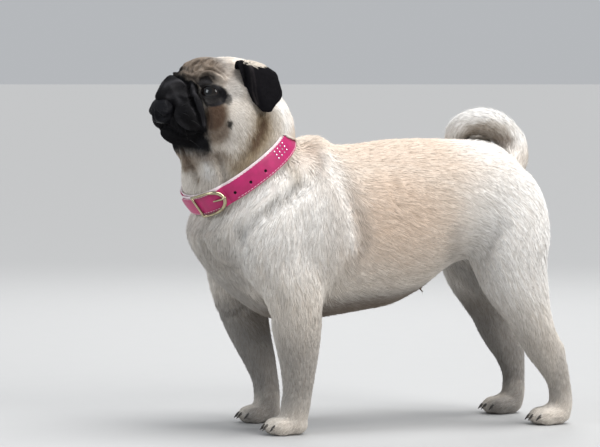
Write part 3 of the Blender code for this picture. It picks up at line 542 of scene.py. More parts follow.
def pigments(points):
    """Shares of black, brown, tan and the painted highlight on the black's lit ridges, and of apricot,
    white, grey and a spare, for each point.
    """
    h = in_head(points)
    body = mirrored(points)
    places = {"head": h, "face": h, "body": body, "row": points}
    on_head = fade(points[:, 2], 0.250, 0.275) * fade(points[:, 0], -0.070, -0.090)
    # Painted highlights along the lit ridges in the black of the face
    lit = [band(h, tenths(path), width / 10000 * RIDGE_HIGHLIGHT_SPREAD) for width, *path in PAINTED_RIDGE_HIGHLIGHTS]
    dark = [
        strongest("black", places, on_head, black_marks(points, h)) * on_head,
        strongest("brown", places, on_head),
        strongest("tan", places, on_head),
        np.maximum.reduce(lit),
    ]
    light = [
        strongest("apricot", places, on_head),
        strongest("white", places, on_head),
        strongest("grey", places, on_head, grey_and_shade_marks(points, body)),
        np.ones(len(h)),
    ]
    return np.stack(dark, 1), np.stack(light, 1)


def paint(obj, points, copies=1):
    """Stores the markings of some points on a mesh, each for one vertex or a few in a row."""
    for name, values in zip(("dark_marks", "light_marks"), pigments(points)):
        store_colour(obj, name, np.repeat(values, copies, 0))


def store_colour(obj, name, values):
    """Stores a colour for each vertex, from four columns, three, or one value that fills all three."""
    if values.ndim == 1:
        values = np.repeat(values[:, None], 3, 1)
    if values.shape[1] == 3:
        values = np.column_stack([values, np.ones(len(values))])
    store = obj.data.attributes.new(name, "FLOAT_COLOR", "POINT")
    store.data.foreach_set("color", values.astype(np.float32).ravel())


# Shader values that can be written as sums


class Value:
    """A shader socket that Python's operators turn into Math nodes."""

    def __init__(self, finish, socket):
        self.finish = finish
        self.socket = socket

    def math(self, operation, *others):
        return self.finish.node("ShaderNodeMath", {"operation": operation}, (self, *others))

    def __add__(self, other):
        return self.math("ADD", other)

    def __sub__(self, other):
        return self.math("SUBTRACT", other)

    def __mul__(self, other):
        return self.math("MULTIPLY", other)

    def __rsub__(self, other):
        return self.finish.node("ShaderNodeMath", {"operation": "SUBTRACT"}, (other, self))

    def clamp(self):
        return self.finish.node("ShaderNodeClamp", {}, (self,))

    def between(self, low, high):
        """0 at low, 1 at high, smooth between."""
        values = {"Value": self, "From Min": low, "From Max": high}
        return self.finish.node("ShaderNodeMapRange", {"interpolation_type": "SMOOTHSTEP"}, values)

    def part(self, name):
        split = self.finish.node("ShaderNodeSeparateColor", {}, (self,))
        return Value(self.finish, split.socket.node.outputs[name])


class Finish:
    """One material: its shader, and the nodes that feed it."""

    def __init__(self, name, roughness=0.5, constants=None):
        self.material = bpy.data.materials.new(name)
        self.material.use_nodes = True
        self.tree = self.material.node_tree
        self.shader = self.tree.nodes["Principled BSDF"]
        self.shader.inputs["Roughness"].default_value = roughness
        for key, value in (constants or {}).items():
            self.shader.inputs[key].default_value = value

    def node(self, kind, settings, values=()):
        """Adds a node: its settings first, then the values or links of its sockets."""
        made = self.tree.nodes.new(kind)
        for key, value in settings.items():
            setattr(made, key, value)
        pairs = values.items() if isinstance(values, dict) else enumerate(values)
        for key, value in pairs:
            self.feed(self.input_of(made, key), value)
        return Value(self, next(s for s in made.outputs if s.enabled))

    def input_of(self, node, key):
        if isinstance(key, int):
            return node.inputs[key]
        return next(s for s in node.inputs if s.enabled and key in (s.identifier, s.name))

    def feed(self, socket, value):
        if isinstance(value, Value):
            self.tree.links.new(value.socket, socket)
        elif hasattr(value, "__len__") and len(value) == 3 and len(socket.default_value) == 4:
            socket.default_value = (*value, 1)
        else:
            socket.default_value = value

    def mix(self, factor, first, second, blend="MIX"):
        settings = {"data_type": "RGBA", "blend_type": blend}
        values = {"Factor_Float": factor, "A_Color": first, "B_Color": second}
        return self.node("ShaderNodeMix", settings, values)

    def tint(self, factor, first, second):
        """Mixes two colours as the base colour."""
        self.use("Base Color", self.mix(factor, first, second))

    def attribute(self, name):
        return self.node("ShaderNodeAttribute", {"attribute_name": name})

    def place(self, scale=(1, 1, 1)):
        """Object coordinates, stretched by a scale."""
        held = self.node("ShaderNodeTexCoord", {})
        held = Value(self, held.socket.node.outputs["Object"])
        return self.node("ShaderNodeVectorMath", {"operation": "MULTIPLY"}, (held, scale))

    def noise(self, scale, detail=3.0, stretch=(1, 1, 1)):
        values = {"Vector": self.place(stretch), "Scale": scale, "Detail": detail}
        return self.node("ShaderNodeTexNoise", {}, values)

    def cells(self, scale):
        values = {"Vector": self.place(), "Scale": scale}
        return self.node("ShaderNodeTexVoronoi", {"feature": "F1"}, values)

    def bump(self, height, distance, strength):
        values = {"Height": height, "Distance": distance, "Strength": strength}
        self.use("Normal", self.node("ShaderNodeBump", {}, values))

    def use(self, name, value):
        self.feed(self.shader.inputs[name], value)


# What a user would change


def colour_setting(name, about, default):
    return FloatVectorProperty(name=name, description=about, subtype="COLOR", default=default)


def count_setting(name, about, default, least=0):
    return IntProperty(name=name, description=about, default=default, min=least)


def length_setting(name, about, default):
    return FloatProperty(name=name, description=about, default=default, unit="LENGTH")


def angle_setting(name, about, default):
    return FloatProperty(name=name, description=about, default=default, subtype="ANGLE")


class CoatSettings(bpy.types.PropertyGroup):
    cream: colour_setting("Cream", "Main colour of the coat", (0.790, 0.735, 0.665))
    apricot: colour_setting("Apricot", "Warmer back and flank", (0.740, 0.575, 0.450))
    white: colour_setting("White", "Palest coat", (0.920, 0.905, 0.880))
    # Grey is also the painted shade of the underside, the inner and far legs and the creases
    grey: colour_setting("Grey", "Legs, temples and underside", (0.245, 0.237, 0.231))
    tan: colour_setting("Tan", "Gold brown of the neck", (0.300, 0.222, 0.122))
    brown: colour_setting("Brown", "Brown below the eyes", (0.110, 0.062, 0.045))
    black: colour_setting("Black", "Mask and ears", (0.0058, 0.0054, 0.0064))
    tufts: count_setting("Tufts", "How many tufts the body and head carry", 290000, 1000)
    tail_tufts: count_setting("Tail tufts", "How many bent tufts the tail carries", 15000, 100)
    ear_tufts: count_setting("Ear tufts", "How many tufts both ears carry", 16000, 100)
    body_length: length_setting("Body hair", "Length of a tuft on the flank", 9.0 * MM)
    face_length: length_setting("Face hair", "Length of a tuft on the face", 2.9 * MM)
    seed: count_setting("Seed", "Seed of the coat's random spread", 7)


class CollarSettings(bpy.types.PropertyGroup):
    pink: colour_setting("Strap", "Outer leather", (0.470, 0.010, 0.125))
    lining: colour_setting("Lining", "Pale inner leather and edge", (0.860, 0.760, 0.780))
    thread: colour_setting("Thread", "Stitching", (0.850, 0.700, 0.740))
    metal: colour_setting("Metal", "Buckle", (0.520, 0.460, 0.300))
    width: length_setting("Width", "Width of the strap", 21.5 * MM)
    thickness: length_setting("Thickness", "Thickness of the strap", 2.6 * MM)


class StageSettings(bpy.types.PropertyGroup):
    azimuth: angle_setting("Azimuth", "Camera's turn round the dog", math.radians(-18))
    elevation: angle_setting("Elevation", "Camera's height above the horizon", math.radians(3))
    distance: length_setting("Distance", "Camera's distance", 3.0)
    floor: colour_setting("Floor", "Floor colour", (0.40, 0.40, 0.398))


# Stage

PICTURE_WIDTH = 600
PICTURE_MIDDLE = (300, 223.5)
PIXEL_OF_ORIGIN = (354.6, 428.0)
PIXELS_PER_METRE = (951.0, 1000.0)
SENSOR_WIDTH = 36
WORLD_COLOUR = (0.93, 0.96, 1.0, 1)
WORLD_STRENGTH = 0.50
SUN_POWER = 3.0
SUN_ANGLE = math.radians(40)
SUN_HEADING = Vector((-0.43, 0.25, -1.8))
AREA_LIGHTS = (
    # (name, place, aim, size, power, colour)
    ("side", (0.9, -1.7, 1.3), (0, 0, 0.2), 1.0, 27, (1.0, 0.99, 0.98)),
    ("rim", (0.6, 1.6, 1.3), (0, 0, 0.25), 1.0, 12, (1, 1, 1)),
    ("window", (-2.0, -0.35, 0.98), SKULL, 0.75, 12, (0.88, 0.94, 1.0)),
)


def aim(thing, heading):
    thing.rotation_euler = heading.to_track_quat("-Z", "Y").to_euler()


def add_area_light(name, place, target, size, power, colour):
    bpy.ops.object.light_add(type="AREA", location=place)
    light = bpy.context.object
    light.name = name
    light.data.size = size
    light.data.energy = power
    light.data.color = colour
    aim(light, Vector(target) - Vector(place))


class PUG_OT_stage(bpy.types.Operator):
    """Adds the camera, the floor and the soft lights"""

    bl_idname = "pug.stage"
    bl_label = "Stage"

    def execute(self, context):
        held = context.scene.pug_stage
        deselect()
        azimuth, elevation = held.azimuth, held.elevation
        back = Vector((
            math.sin(azimuth) * math.cos(elevation),
            -math.cos(azimuth) * math.cos(elevation),
            math.sin(elevation),
        ))
        target = Vector((
            (PICTURE_MIDDLE[0] - PIXEL_OF_ORIGIN[0]) / PIXELS_PER_METRE[0],
            0,
            (PIXEL_OF_ORIGIN[1] - PICTURE_MIDDLE[1]) / PIXELS_PER_METRE[1],
        ))
        bpy.ops.object.camera_add(location=target + back * held.distance)
        camera = context.object
        aim(camera, -back)
        camera.data.sensor_width = SENSOR_WIDTH
        camera.data.lens = SENSOR_WIDTH * held.distance / (PICTURE_WIDTH * MM)
        camera.data.clip_end = 60
        context.scene.camera = camera

        bpy.ops.mesh.primitive_circle_add(vertices=64, radius=120, fill_type="NGON")
        floor = context.object
        floor.name = "floor"
        surface = Finish("floor", roughness=0.75)
        surface.tint(surface.noise(30.0, 4.0), tuple(c * 0.97 for c in held.floor), tuple(held.floor))
        floor.data.materials.append(surface.material)

        world = bpy.data.worlds.new("studio")
        context.scene.world = world
        world.use_nodes = True
        background = world.node_tree.nodes["Background"]
        background.inputs["Color"].default_value = WORLD_COLOUR
        background.inputs["Strength"].default_value = WORLD_STRENGTH
        bpy.ops.object.light_add(type="SUN", location=(0.45, -0.25, 2.0))
        sun = context.object
        sun.name = "sky_panel"
        sun.data.energy = SUN_POWER
        sun.data.angle = SUN_ANGLE
        aim(sun, SUN_HEADING)
        for light in AREA_LIGHTS:
            add_area_light(*light)
        context.scene.view_settings.view_transform = "Standard"
        return {"FINISHED"}


# Skin

SKIN_VOXEL = 1.05 * MM
SKIN_TRIANGLES = 185000
JOIN_SWELL = 0.35 * MM
BODY_ROUNDS = 36
FAR_BROW_ROUNDS = 30
# Skin beside the strap is pressed in over this width, all round but at the nape
PRESS_WIDTH = 12 * MM
PRESS_NONE, PRESS_FULL = math.radians(142), math.radians(125)
FACE_STROKES = (
    # (width, lift, path on the left side of the head), in the head's frame
    (19, -50, 613, 0, 156, 576, 137, 134, 571, 232, 7, 537, 283, -86, 500, 326, -178, 445, 343, -286),
    (18, -40, 560, 120, 180, 531, 228, 112, 464, 287, -4, 417, 354, -163, 390, 371, -306),
    (24, 20, 555, 180, 110, 515, 265, -10, 478, 320, -130, 440, 350, -250),
    (18, -45, 690, 150, -110, 684, 175, -191, 665, 225, -285, 600, 260, -338, 520, 290, -355, 414, 330,
     -340),
    (22, 14, 680, 200, -180, 650, 260, -270, 580, 290, -315, 480, 310, -325),
    (18, 10, 735, 60, 0, 690, 150, -30, 640, 200, -100),
    (18, -40, *FROWN),
    (19, 26, 514, 257, 184, 504, 327, 231, 468, 379, 247, 425, 428, 230, 362, 445, 202),
    (22, -22, 499, 308, 190, 490, 370, 200, 445, 420, 185),
    (18, -36, *OUTER_FOLD),
    (18, -36, *INNER_FOLD),
    (18, -36, *BROW_FOLD),
    (18, -36, 552, 20, 267, 570, 112, 244, 555, 170, 237),
    (24, 14, 578, 116, 213, 567, 164, 195),
    (22, 16, 480, 215, 330, 420, 195, 365, 350, 160, 400),
    (14, -18, *TEMPLE_LINE),
    (16, -14, *CROWN_LINE),
    (13, -16, 470, 260, -30, 420, 370, -65, 310, 440, -10),
    (20, 10, 460, 290, -80, 380, 410, -110, 280, 460, -50),
    (32, -26, *CHEEK_LINE),
    (22, -12, 280, 480, -140, 300, 470, -300, 330, 430, -420),
)
FAR_BROW = tenths((500, -290, 220, 130, 130, 110))
MIDDLE_STROKES = (
    (14, -22, 610, 0, 190, 580, 0, 280, 480, 0, 390),
    (12, -24, 760, 0, -290, 690, 0, -345),
    # The far brow stays below the roll over the nose
    (45, -45, 530, -220, 170, 510, -290, 215, 468, -370, 235),
    (50, 34, 660, -10, 150, 630, -80, 165, 590, -160, 175),
)
BODY_STROKES = (
    # (width, lift, path on the left side of the body), in the row frame
    (60, -14, *SHOULDER_CREASE),
    (40, -18, -1439, -620, 2075, -1398, -651, 1930),
    (80, -7, -380, -620, 2640, -320, -780, 2380, -250, -850, 2070, -220, -860, 1870, -360, -800, 1550,
     -600, -600, 1240),
    (42, -30, -1600, -200, 1980, -1520, -300, 1700, -1360, -420, 1420),
    (45, -20, -1627, -219, 1812, -1535, -253, 1694, -1421, -456, 1626, -1354, -673, 1717),
    (50, -16, -1300, -520, 2080, -1260, -580, 1900, -1120, -660, 1650),
    (36, -24, *ELBOW_CREASE),
    (40, -12, 110, -500, 2720, 160, -740, 2400, 180, -830, 2050),
    (45, -9, 240, -500, 2740, 300, -740, 2420, 310, -810, 2100),
    (70, -20, 1120, -550, 1600, 1170, -680, 1820, 1280, -720, 2050),
    (32, -50, *THROAT_LINE),
    (30, -36, *THROAT_FOLD),
    (60, 28, *DEWLAP),
    (30, -20, 1960, -580, 1100, 2030, -580, 880, 2060, -600, 650),
    (20, 60, 605, -300, 1360, 615, -300, 1360),
)


class Sculptor:
    """Raises or sinks a skin along paths laid on it."""

    def __init__(self, mesh):
        self.mesh = mesh
        self.places = points_of(mesh)
        self.tree = KDTree(len(self.places))
        for i, place in enumerate(self.places):
            self.tree.insert(place, i)
        self.tree.balance()

    def carve(self, strokes, frame_of_paths, sides=(1, -1), heading=None):
        """Makes every stroke of a table, for each side that is named."""
        for width, lift, *path in strokes:
            for side in sides:
                placed = [frame_of_paths @ side_of(p, side) for p in tenths(path)]
                self.stroke(placed, width / 10000, lift / 10000, heading)

    def stroke(self, points, width, lift, heading):
        """Lifts the skin along a path, or sinks it, square to it or along a heading."""
        laid = [self.tree.find(p)[0] for p in points]
        path = np.array([self.tree.find(p)[0] for p in smooth_path(laid, 14)])
        low, high = path.min(0) - 3 * width, path.max(0) + 3 * width
        near = np.flatnonzero(((self.places > low) & (self.places < high)).all(1))
        distance = np.sqrt(((self.places[near, None] - path[None]) ** 2).sum(2))
        share = distance.argmin(1) / (len(path) - 1)
        fading = np.sin(np.pi * (0.06 + 0.88 * share)) ** 0.6
        push = lift * fading * np.exp(-((distance.min(1) / width) ** 2))
        headings = normals_of(self.mesh)[near] if heading is None else heading
        self.places[near] += headings * push[:, None]
        put_points(self.mesh, self.places)


def coat_regions(points):
    """Soft shares of face, skull, feet, lower legs, tail, and the long hair of chest and breeches."""
    h = in_head(points)
    body = mirrored(points)
    face = blob(h, (0.0450, 0.0, -0.0080), (0.0560, 0.0650, 0.0560), 0.5)
    skull = blob(h, (0.0050, 0.0, 0.0100), (0.0620, 0.0700, 0.0520), 0.3)
    feet = fade(points[:, 2], 0.040, 0.022)
    legs = fade(points[:, 2], 0.135, 0.080)
    tail = blob(points, (0.1550, 0.0150, 0.2950), (0.0420, 0.0600, 0.0340), 0.3)
    ruff = np.maximum(
        blob(body, (-0.1250, -0.0300, 0.2150), (0.0600, 0.0600, 0.0480), 0.6),
        blob(body, (0.1950, -0.0500, 0.1700), (0.0350, 0.0400, 0.0700), 0.6),
    )
    return face, skull, feet, legs, tail, ruff


def tail_share(points):
    return (coat_regions(points)[4] > 0.5).astype(float)


def coat_depth(points):
    """How far the skin lies under the tips of the coat."""
    face, skull, feet, legs, tail, ruff = coat_regions(points)
    depth = np.full(len(points), 1.7 * MM)
    for share, value in ((ruff, 2.2), (tail, 2.4), (legs, 1.2), (skull, 1.1), (face, 0.6), (feet, 0.8)):
        depth += (value * MM - depth) * share
    return depth


def hair_length(points, held):
    face, skull, feet, legs, tail, ruff = coat_regions(points)
    length = np.full(len(points), held.body_length)
    h = in_head(points)
    throat = blob(h, (0.0050, 0.0, -0.0600), (0.0500, 0.0650, 0.0380), 0.5)
    muzzle = blob(h, (0.0620, 0.0, -0.0160), (0.0260, 0.0420, 0.0480), 0.3)
    short = held.face_length / held.body_length
    steps = (
        (ruff, 1.15), (tail, 1.25), (legs, 0.62), (throat, 0.55), (skull, 0.50), (face, short),
        (muzzle, short * 0.65), (feet, 0.36),
    )
    for share, value in steps:
        length += (value * held.body_length - length) * share
    return length


def shield_eyes(points):
    """0 on the lids and 1 away from them."""
    keep = np.ones(len(points))
    for _, side in SIDES:
        centre = np.array(HEAD @ side_of(EYE_IN_HEAD, side))
        keep *= fade(np.linalg.norm(points - centre, axis=1), EYE_RADIUS + 1.5 * MM, EYE_RADIUS + 4.0 * MM)
    return keep


def weigh(obj, weights, levels=16):
    """A vertex group that holds weights in a few even steps."""
    group = obj.vertex_groups.new(name="share")
    steps = np.round(weights * levels).astype(int)
    for step in range(1, levels + 1):
        group.add(np.flatnonzero(steps == step).tolist(), step / levels, "REPLACE")
    return group.name


def relax(obj, weights, rounds):
    apply_modifier(obj, "SMOOTH", factor=0.5, iterations=rounds, vertex_group=weigh(obj, weights))
    obj.vertex_groups.clear()


def thin_out(obj, weights, triangles):
    obj.data.calc_loop_triangles()
    ratio = min(1.0, triangles / len(obj.data.loop_triangles))
    apply_modifier(obj, "DECIMATE", ratio=ratio, vertex_group=weigh(obj, weights), vertex_group_factor=0.6)
    obj.vertex_groups.clear()


def press_under_strap(points):
    """Presses skin points in under the strap and beside it, except at the nape."""
    offset = points - np.array(COLLAR_CENTRE)
    axis = np.array(COLLAR_AXIS)
    along = offset @ axis
    flat = offset - along[:, None] * axis
    reach = np.linalg.norm(flat, axis=1)
    forward, left = collar_frame()
    angle = np.arctan2(flat @ left, flat @ forward)
    beside = np.maximum(0.0, np.abs(along) - COLLAR_WIDTH / 2)
    limit = collar_radius(angle) - 0.6 * MM + 0.9 * beside + 30 * beside**2
    share = fade(np.abs(angle), PRESS_NONE, PRESS_FULL) * (beside < PRESS_WIDTH)
    over = np.maximum(0.0, reach - limit) * share
    return points - flat / np.maximum(reach, 1e-9)[:, None] * over[:, None]


class PUG_OT_skin(bpy.types.Operator):
    """Makes one seamless skin over the flesh of the body, with the folds of the face"""

    bl_idname = "pug.skin"
    bl_label = "Skin"

    def execute(self, context):
        skin = copy_of_nodes(FLESH, "skin", JOIN_SWELL)
        apply_modifier(skin, "REMESH", mode="VOXEL", voxel_size=SKIN_VOXEL)
        keep_largest(skin)
        points = points_of(skin.data)
        face, skull, feet, *_ = coat_regions(points)
        relax(skin, np.ones(len(points)), 6)
        relax(skin, (1 - np.maximum.reduce([face, skull, feet])) * shield_eyes(points), BODY_ROUNDS)
        sculptor = Sculptor(skin.data)
        sculptor.carve(FACE_STROKES, HEAD)
        sculptor.carve(BODY_STROKES, Matrix())
        sculptor.carve(MIDDLE_STROKES, HEAD, (1,))
        far_middle, far_radii = FAR_BROW
        far_brow = blob(points_of(skin.data), HEAD @ Vector(far_middle), far_radii, 0.6)
        relax(skin, far_brow, FAR_BROW_ROUNDS)
        relax(skin, np.ones(len(points)), 1)
        points = points_of(skin.data)
        points = points - normals_of(skin.data) * (coat_depth(points) * shield_eyes(points))[:, None]
        put_points(skin.data, press_under_strap(points))
        relax(skin, np.ones(len(points)), 1)
        points = points_of(skin.data)
        face, skull, feet, *_ = coat_regions(points)
        thin_out(skin, 1 - np.maximum(face, feet * 0.7), SKIN_TRIANGLES)
        apply_modifier(skin, "TRIANGULATE")
        unwrap_as_baked(skin)
        paint(skin, points_of(skin.data))
        # The skin takes the coat's colours at 0.88: painted shade where it shows under the tufts
        finish_piece(skin, coat_finish(context.scene.pug_coat, "skin", 0.88), FLESH)
        return {"FINISHED"}


# Coat


# Painted highlight: the tint that the black takes on its lit ridges
RIDGE_HIGHLIGHT_TINT = (0.062, 0.061, 0.067)
# Painted sheen: the grey that the black coat's brightest hairs lean towards
PAINTED_SHEEN_TINT = (0.055, 0.055, 0.063)


def broken_up(amount, ragged, wild):
    """An amount whose middle values are roughened by noise."""
    return (amount + ragged * wild * amount * (1 - amount) * 4).clamp()


def coat_finish(held, name, shade=1.0):
    """The markings, broken up by noise, with lighter and darker hair; painted shade towards each tuft's
    root and, with shade below 1, on the skin under the tufts; painted highlights on the black's lit ridges
    and painted sheen on its brightest hairs.
    """
    surface = Finish(name, 0.65, {"Specular IOR Level": 0.10})
    dark, light = surface.attribute("dark_marks"), surface.attribute("light_marks")
    strand = surface.attribute("strand")
    fine, coarse = surface.noise(260.0, 2.0), surface.noise(55.0, 2.0)
    ragged = (fine - 0.5) * 0.5 + (coarse - 0.5) * 0.35
    # Painted highlight: the black lightens towards its tint along lit ridges
    ridge_highlight = Value(surface, dark.socket.node.outputs["Alpha"])
    black = surface.mix(ridge_highlight, tuple(held.black), RIDGE_HIGHLIGHT_TINT)
    colour = tuple(c * shade for c in held.cream)
    steps = (
        (light, "Red", held.apricot, 0.6), (light, "Green", held.white, 0.5),
        # Grey, brown and tan also carry painted shade in places
        (light, "Blue", held.grey, 0.6), (dark, "Green", held.tan, 0.5),
        (dark, "Blue", held.tan, 0.7), (dark, "Green", held.brown, 0.7),
    )
    for marked, channel, tint, wild in steps:
        amount = broken_up(marked.part(channel), ragged, wild)
        colour = surface.mix(amount, colour, tuple(c * shade for c in tint))
    amount = broken_up(dark.part("Red"), ragged, 0.9)
    colour = surface.mix(amount, colour, black)
    tone = strand.part("Red")
    # Random tone per tuft and per lock, with painted shade that darkens each tuft towards its root
    tone_and_root_shade = (tone * 0.65 + strand.part("Green") * 0.35).between(0.05, 0.95)
    darker = surface.mix(1.0, colour, (0.72, 0.69, 0.66), "MULTIPLY")
    lighter = surface.mix(1.0, colour, (1.11, 1.11, 1.11), "MULTIPLY")
    colour = surface.mix(tone_and_root_shade, darker, lighter)
    # Painted sheen on black hairs, strongest on the tufts with the highest tone
    surface.tint(amount * tone * tone * tone * 0.2, colour, PAINTED_SHEEN_TINT)
    surface.bump(surface.noise(900.0, 2.0), 0.3 * MM, 0.4)
    return surface.material


LIE_ON_HEAD = (
    # (place, direction of the hair's tips in hundredths), left side, in the head's frame
    (750, 40, 40, -50, 20, 90), (700, 160, -100, -70, 60, 10), (660, 200, -280, -80, 30, -60),
    (560, 240, -200, -90, 40, -20), (480, 340, -220, -40, 30, -90), (580, 100, 120, -40, 10, 90),
    (560, 120, 240, -40, 20, 90), (450, 200, 320, -90, 10, 50), (200, 200, 440, -100, 10, 0),
    (-100, 150, 440, -100, 10, -20), (-400, 200, 200, -60, 10, -90), (-480, 200, -100, -20, 10, -100),
    (220, 420, 240, -90, 10, -20), (240, 500, 40, -90, 10, -40), (400, 400, -120, -70, 20, -70),
    (360, 460, -240, -70, 20, -70), (120, 560, -200, -70, 10, -70), (120, 540, -420, -50, 0, -90),
    (-140, 540, -200, -30, 0, -100), (500, 160, -460, -80, 20, -50), (340, 340, -540, -60, 0, -80),
    (100, 560, -620, -10, -10, -100), (-160, 580, -400, 10, 0, -100), (-350, 500, -200, -30, 0, -100),
)
LIE_ON_BODY = (
    # The same in the row frame
    (-1500, -200, 2500, 10, 0, -100), (-1400, -550, 2450, -20, 0, -100),
    (-850, -600, 2450, -30, 0, -95), (-1150, -750, 2050, -40, 0, -90), (-1500, -400, 1900, 0, 15, -100),
    (-1650, 0, 2000, 0, 0, -100), (-1500, 0, 1500, 50, 0, -90), (-1200, -600, 1600, -10, 0, -100),
    (-800, -800, 1900, -25, 0, -97), (-550, -750, 2300, 5, 0, -100), (-600, -250, 2900, 90, -50, -20),
    (-380, -650, 2620, 50, -10, -80), (-350, -850, 2000, 30, 0, -95), (-600, -800, 1500, 25, 0, -97),
    (0, -200, 2900, 100, -10, 0), (0, -700, 2500, 95, 0, -30), (0, -850, 2000, 90, 0, -42),
    (-100, -750, 1450, 90, 10, -35), (600, -200, 2920, 100, -5, 0), (600, -750, 2250, 95, 0, -30),
    (600, -700, 1650, 93, 10, -25), (0, 0, 1100, 100, 0, 0), (-900, 0, 1150, 90, 0, -20),
    (1000, -200, 2920, 100, -10, -5), (1100, -700, 2400, 80, 0, -55), (1000, -700, 1900, 80, 0, -20),
    (1450, -700, 2300, 60, 0, -80), (1500, -800, 1800, 40, 0, -92), (1800, -500, 2100, 15, 10, -100),
    (1850, -500, 1600, 30, 0, -95), (1500, -750, 1300, 45, 0, -90), (1900, -650, 800, 20, 0, -100),
    (2000, -600, 400, 0, 0, -100), (1850, -550, 100, -90, 0, -30), (-850, -800, 1200, 15, 0, -100),
    (-850, -700, 600, 5, 0, -100), (-850, -600, 250, -20, 0, -100), (-1000, -550, 100, -90, 0, -40),
)
LIE_ON_TAIL = (
    # The tail lies to one side and has no mirror image
    (1680, -40, 2580, 40, 0, 90), (1780, 0, 2800, -20, 0, 100), (1650, 80, 3020, -80, 20, 60),
    (1450, 180, 3160, -100, 30, 10), (1280, 340, 3040, -40, 50, -80), (1300, 480, 2840, 80, 30, -50),
    (1480, 380, 2800, 100, -40, 0),
)


def guides():
    """Every guide of the coat's lie, both sides, as places and directions in the row frame."""
    out = []
    tables = (LIE_ON_HEAD, HEAD, (1, -1)), (LIE_ON_BODY, Matrix(), (1, -1)), (LIE_ON_TAIL, Matrix(), (1,))
    for table, matrix, sides in tables:
        for row in table:
            place, direction = np.array(row[:3]) / 10000, np.array(row[3:]) / 100
            for side in sides:
                out.append((matrix @ side_of(place, side), matrix.to_3x3() @ side_of(direction, side)))
    return np.array([p for p, _ in out]), unit(np.array([d for _, d in out]))


def combed(normals, direction):
    """One direction, laid along the skin at each point."""
    return unit(direction - normals * (normals @ direction)[:, None])


GUIDE_REACH = 0.006


def lie_of(points, normals):
    """The direction in which the hair lies at each point, along the skin."""
    places, directions = guides()
    total = np.zeros_like(points)
    for place, direction in zip(places, directions):
        weight = 1 / (((points - place) ** 2).sum(1) + GUIDE_REACH**2) ** 2
        total += weight[:, None] * direction
    total = unit(total)
    flat = total - normals * (total * normals).sum(1)[:, None]
    return unit(flat)


def spread_roots(mesh, density, count, rng):
    """Random points on a triangle mesh by a density, with their normals and places on its unwrap."""
    faces = len(mesh.polygons)
    corners = np.empty(faces * 3, np.int32)
    mesh.loops.foreach_get("vertex_index", corners)
    corners = corners.reshape(-1, 3)
    places = points_of(mesh)[corners]
    normals = normals_of(mesh)[corners]
    area = np.linalg.norm(np.cross(places[:, 1] - places[:, 0], places[:, 2] - places[:, 0]), axis=1) / 2
    weight = area * density(places.mean(1))
    chosen = rng.choice(faces, count, p=weight / weight.sum())
    a, b = rng.random((2, count))
    over = a + b > 1
    a[over], b[over] = 1 - a[over], 1 - b[over]
    shares = np.stack([1 - a - b, a, b], 1)[:, :, None]
    flat = np.empty(faces * 6, np.float32)
    mesh.uv_layers["OFBake"].uv.foreach_get("vector", flat)
    flat = flat.reshape(-1, 3, 2)[chosen]
    return (
        (places[chosen] * shares).sum(1),
        unit((normals[chosen] * shares).sum(1)),
        (flat * shares).sum(1),
    )


BENT_FACES = np.array([
    [0, 2, 1],
    [0, 1, 4], [0, 4, 3], [1, 2, 5], [1, 5, 4], [2, 0, 3], [2, 3, 5],
    [3, 4, 6], [4, 5, 6], [5, 3, 6],
])
BENT_CORNERS = 7
STRAIGHT_FACES = np.array([[0, 2, 1], [0, 1, 3], [1, 2, 3], [2, 0, 3]])
PATCH = 0.0015
ABOVE_FLOOR = 0.1 * MM
LOCK_TUFTS = 12
LOCK_PULL = 0.24
LOCK_SWING, TUFT_SWING = math.radians(7), math.radians(5)
STRAY_SHARE = 0.05


class Pelt:
    """A surface that tufts grow from."""

    def __init__(self, obj):
        self.mesh = obj.data
        self.tree = surface_tree(obj.data)

    def above(self, targets, heights):
        """The targets moved to heights over the nearest part of the surface."""
        out = np.empty_like(targets)
        for i, target in enumerate(targets):
            found, normal, _, _ = self.tree.find_nearest(target)
            out[i] = found + normal * heights[i]
        return out

    def roots(self, density, count, rng):
        return spread_roots(self.mesh, density, count, rng)


def locks_of(roots, rng):
    """For each root, the number of the root at the middle of its lock."""
    middles = rng.choice(len(roots), max(1, len(roots) // LOCK_TUFTS), replace=False)
    tree = KDTree(len(middles))
    for middle_root in middles:
        tree.insert(roots[middle_root], int(middle_root))
    tree.balance()
    return np.array([tree.find(root)[1] for root in roots])


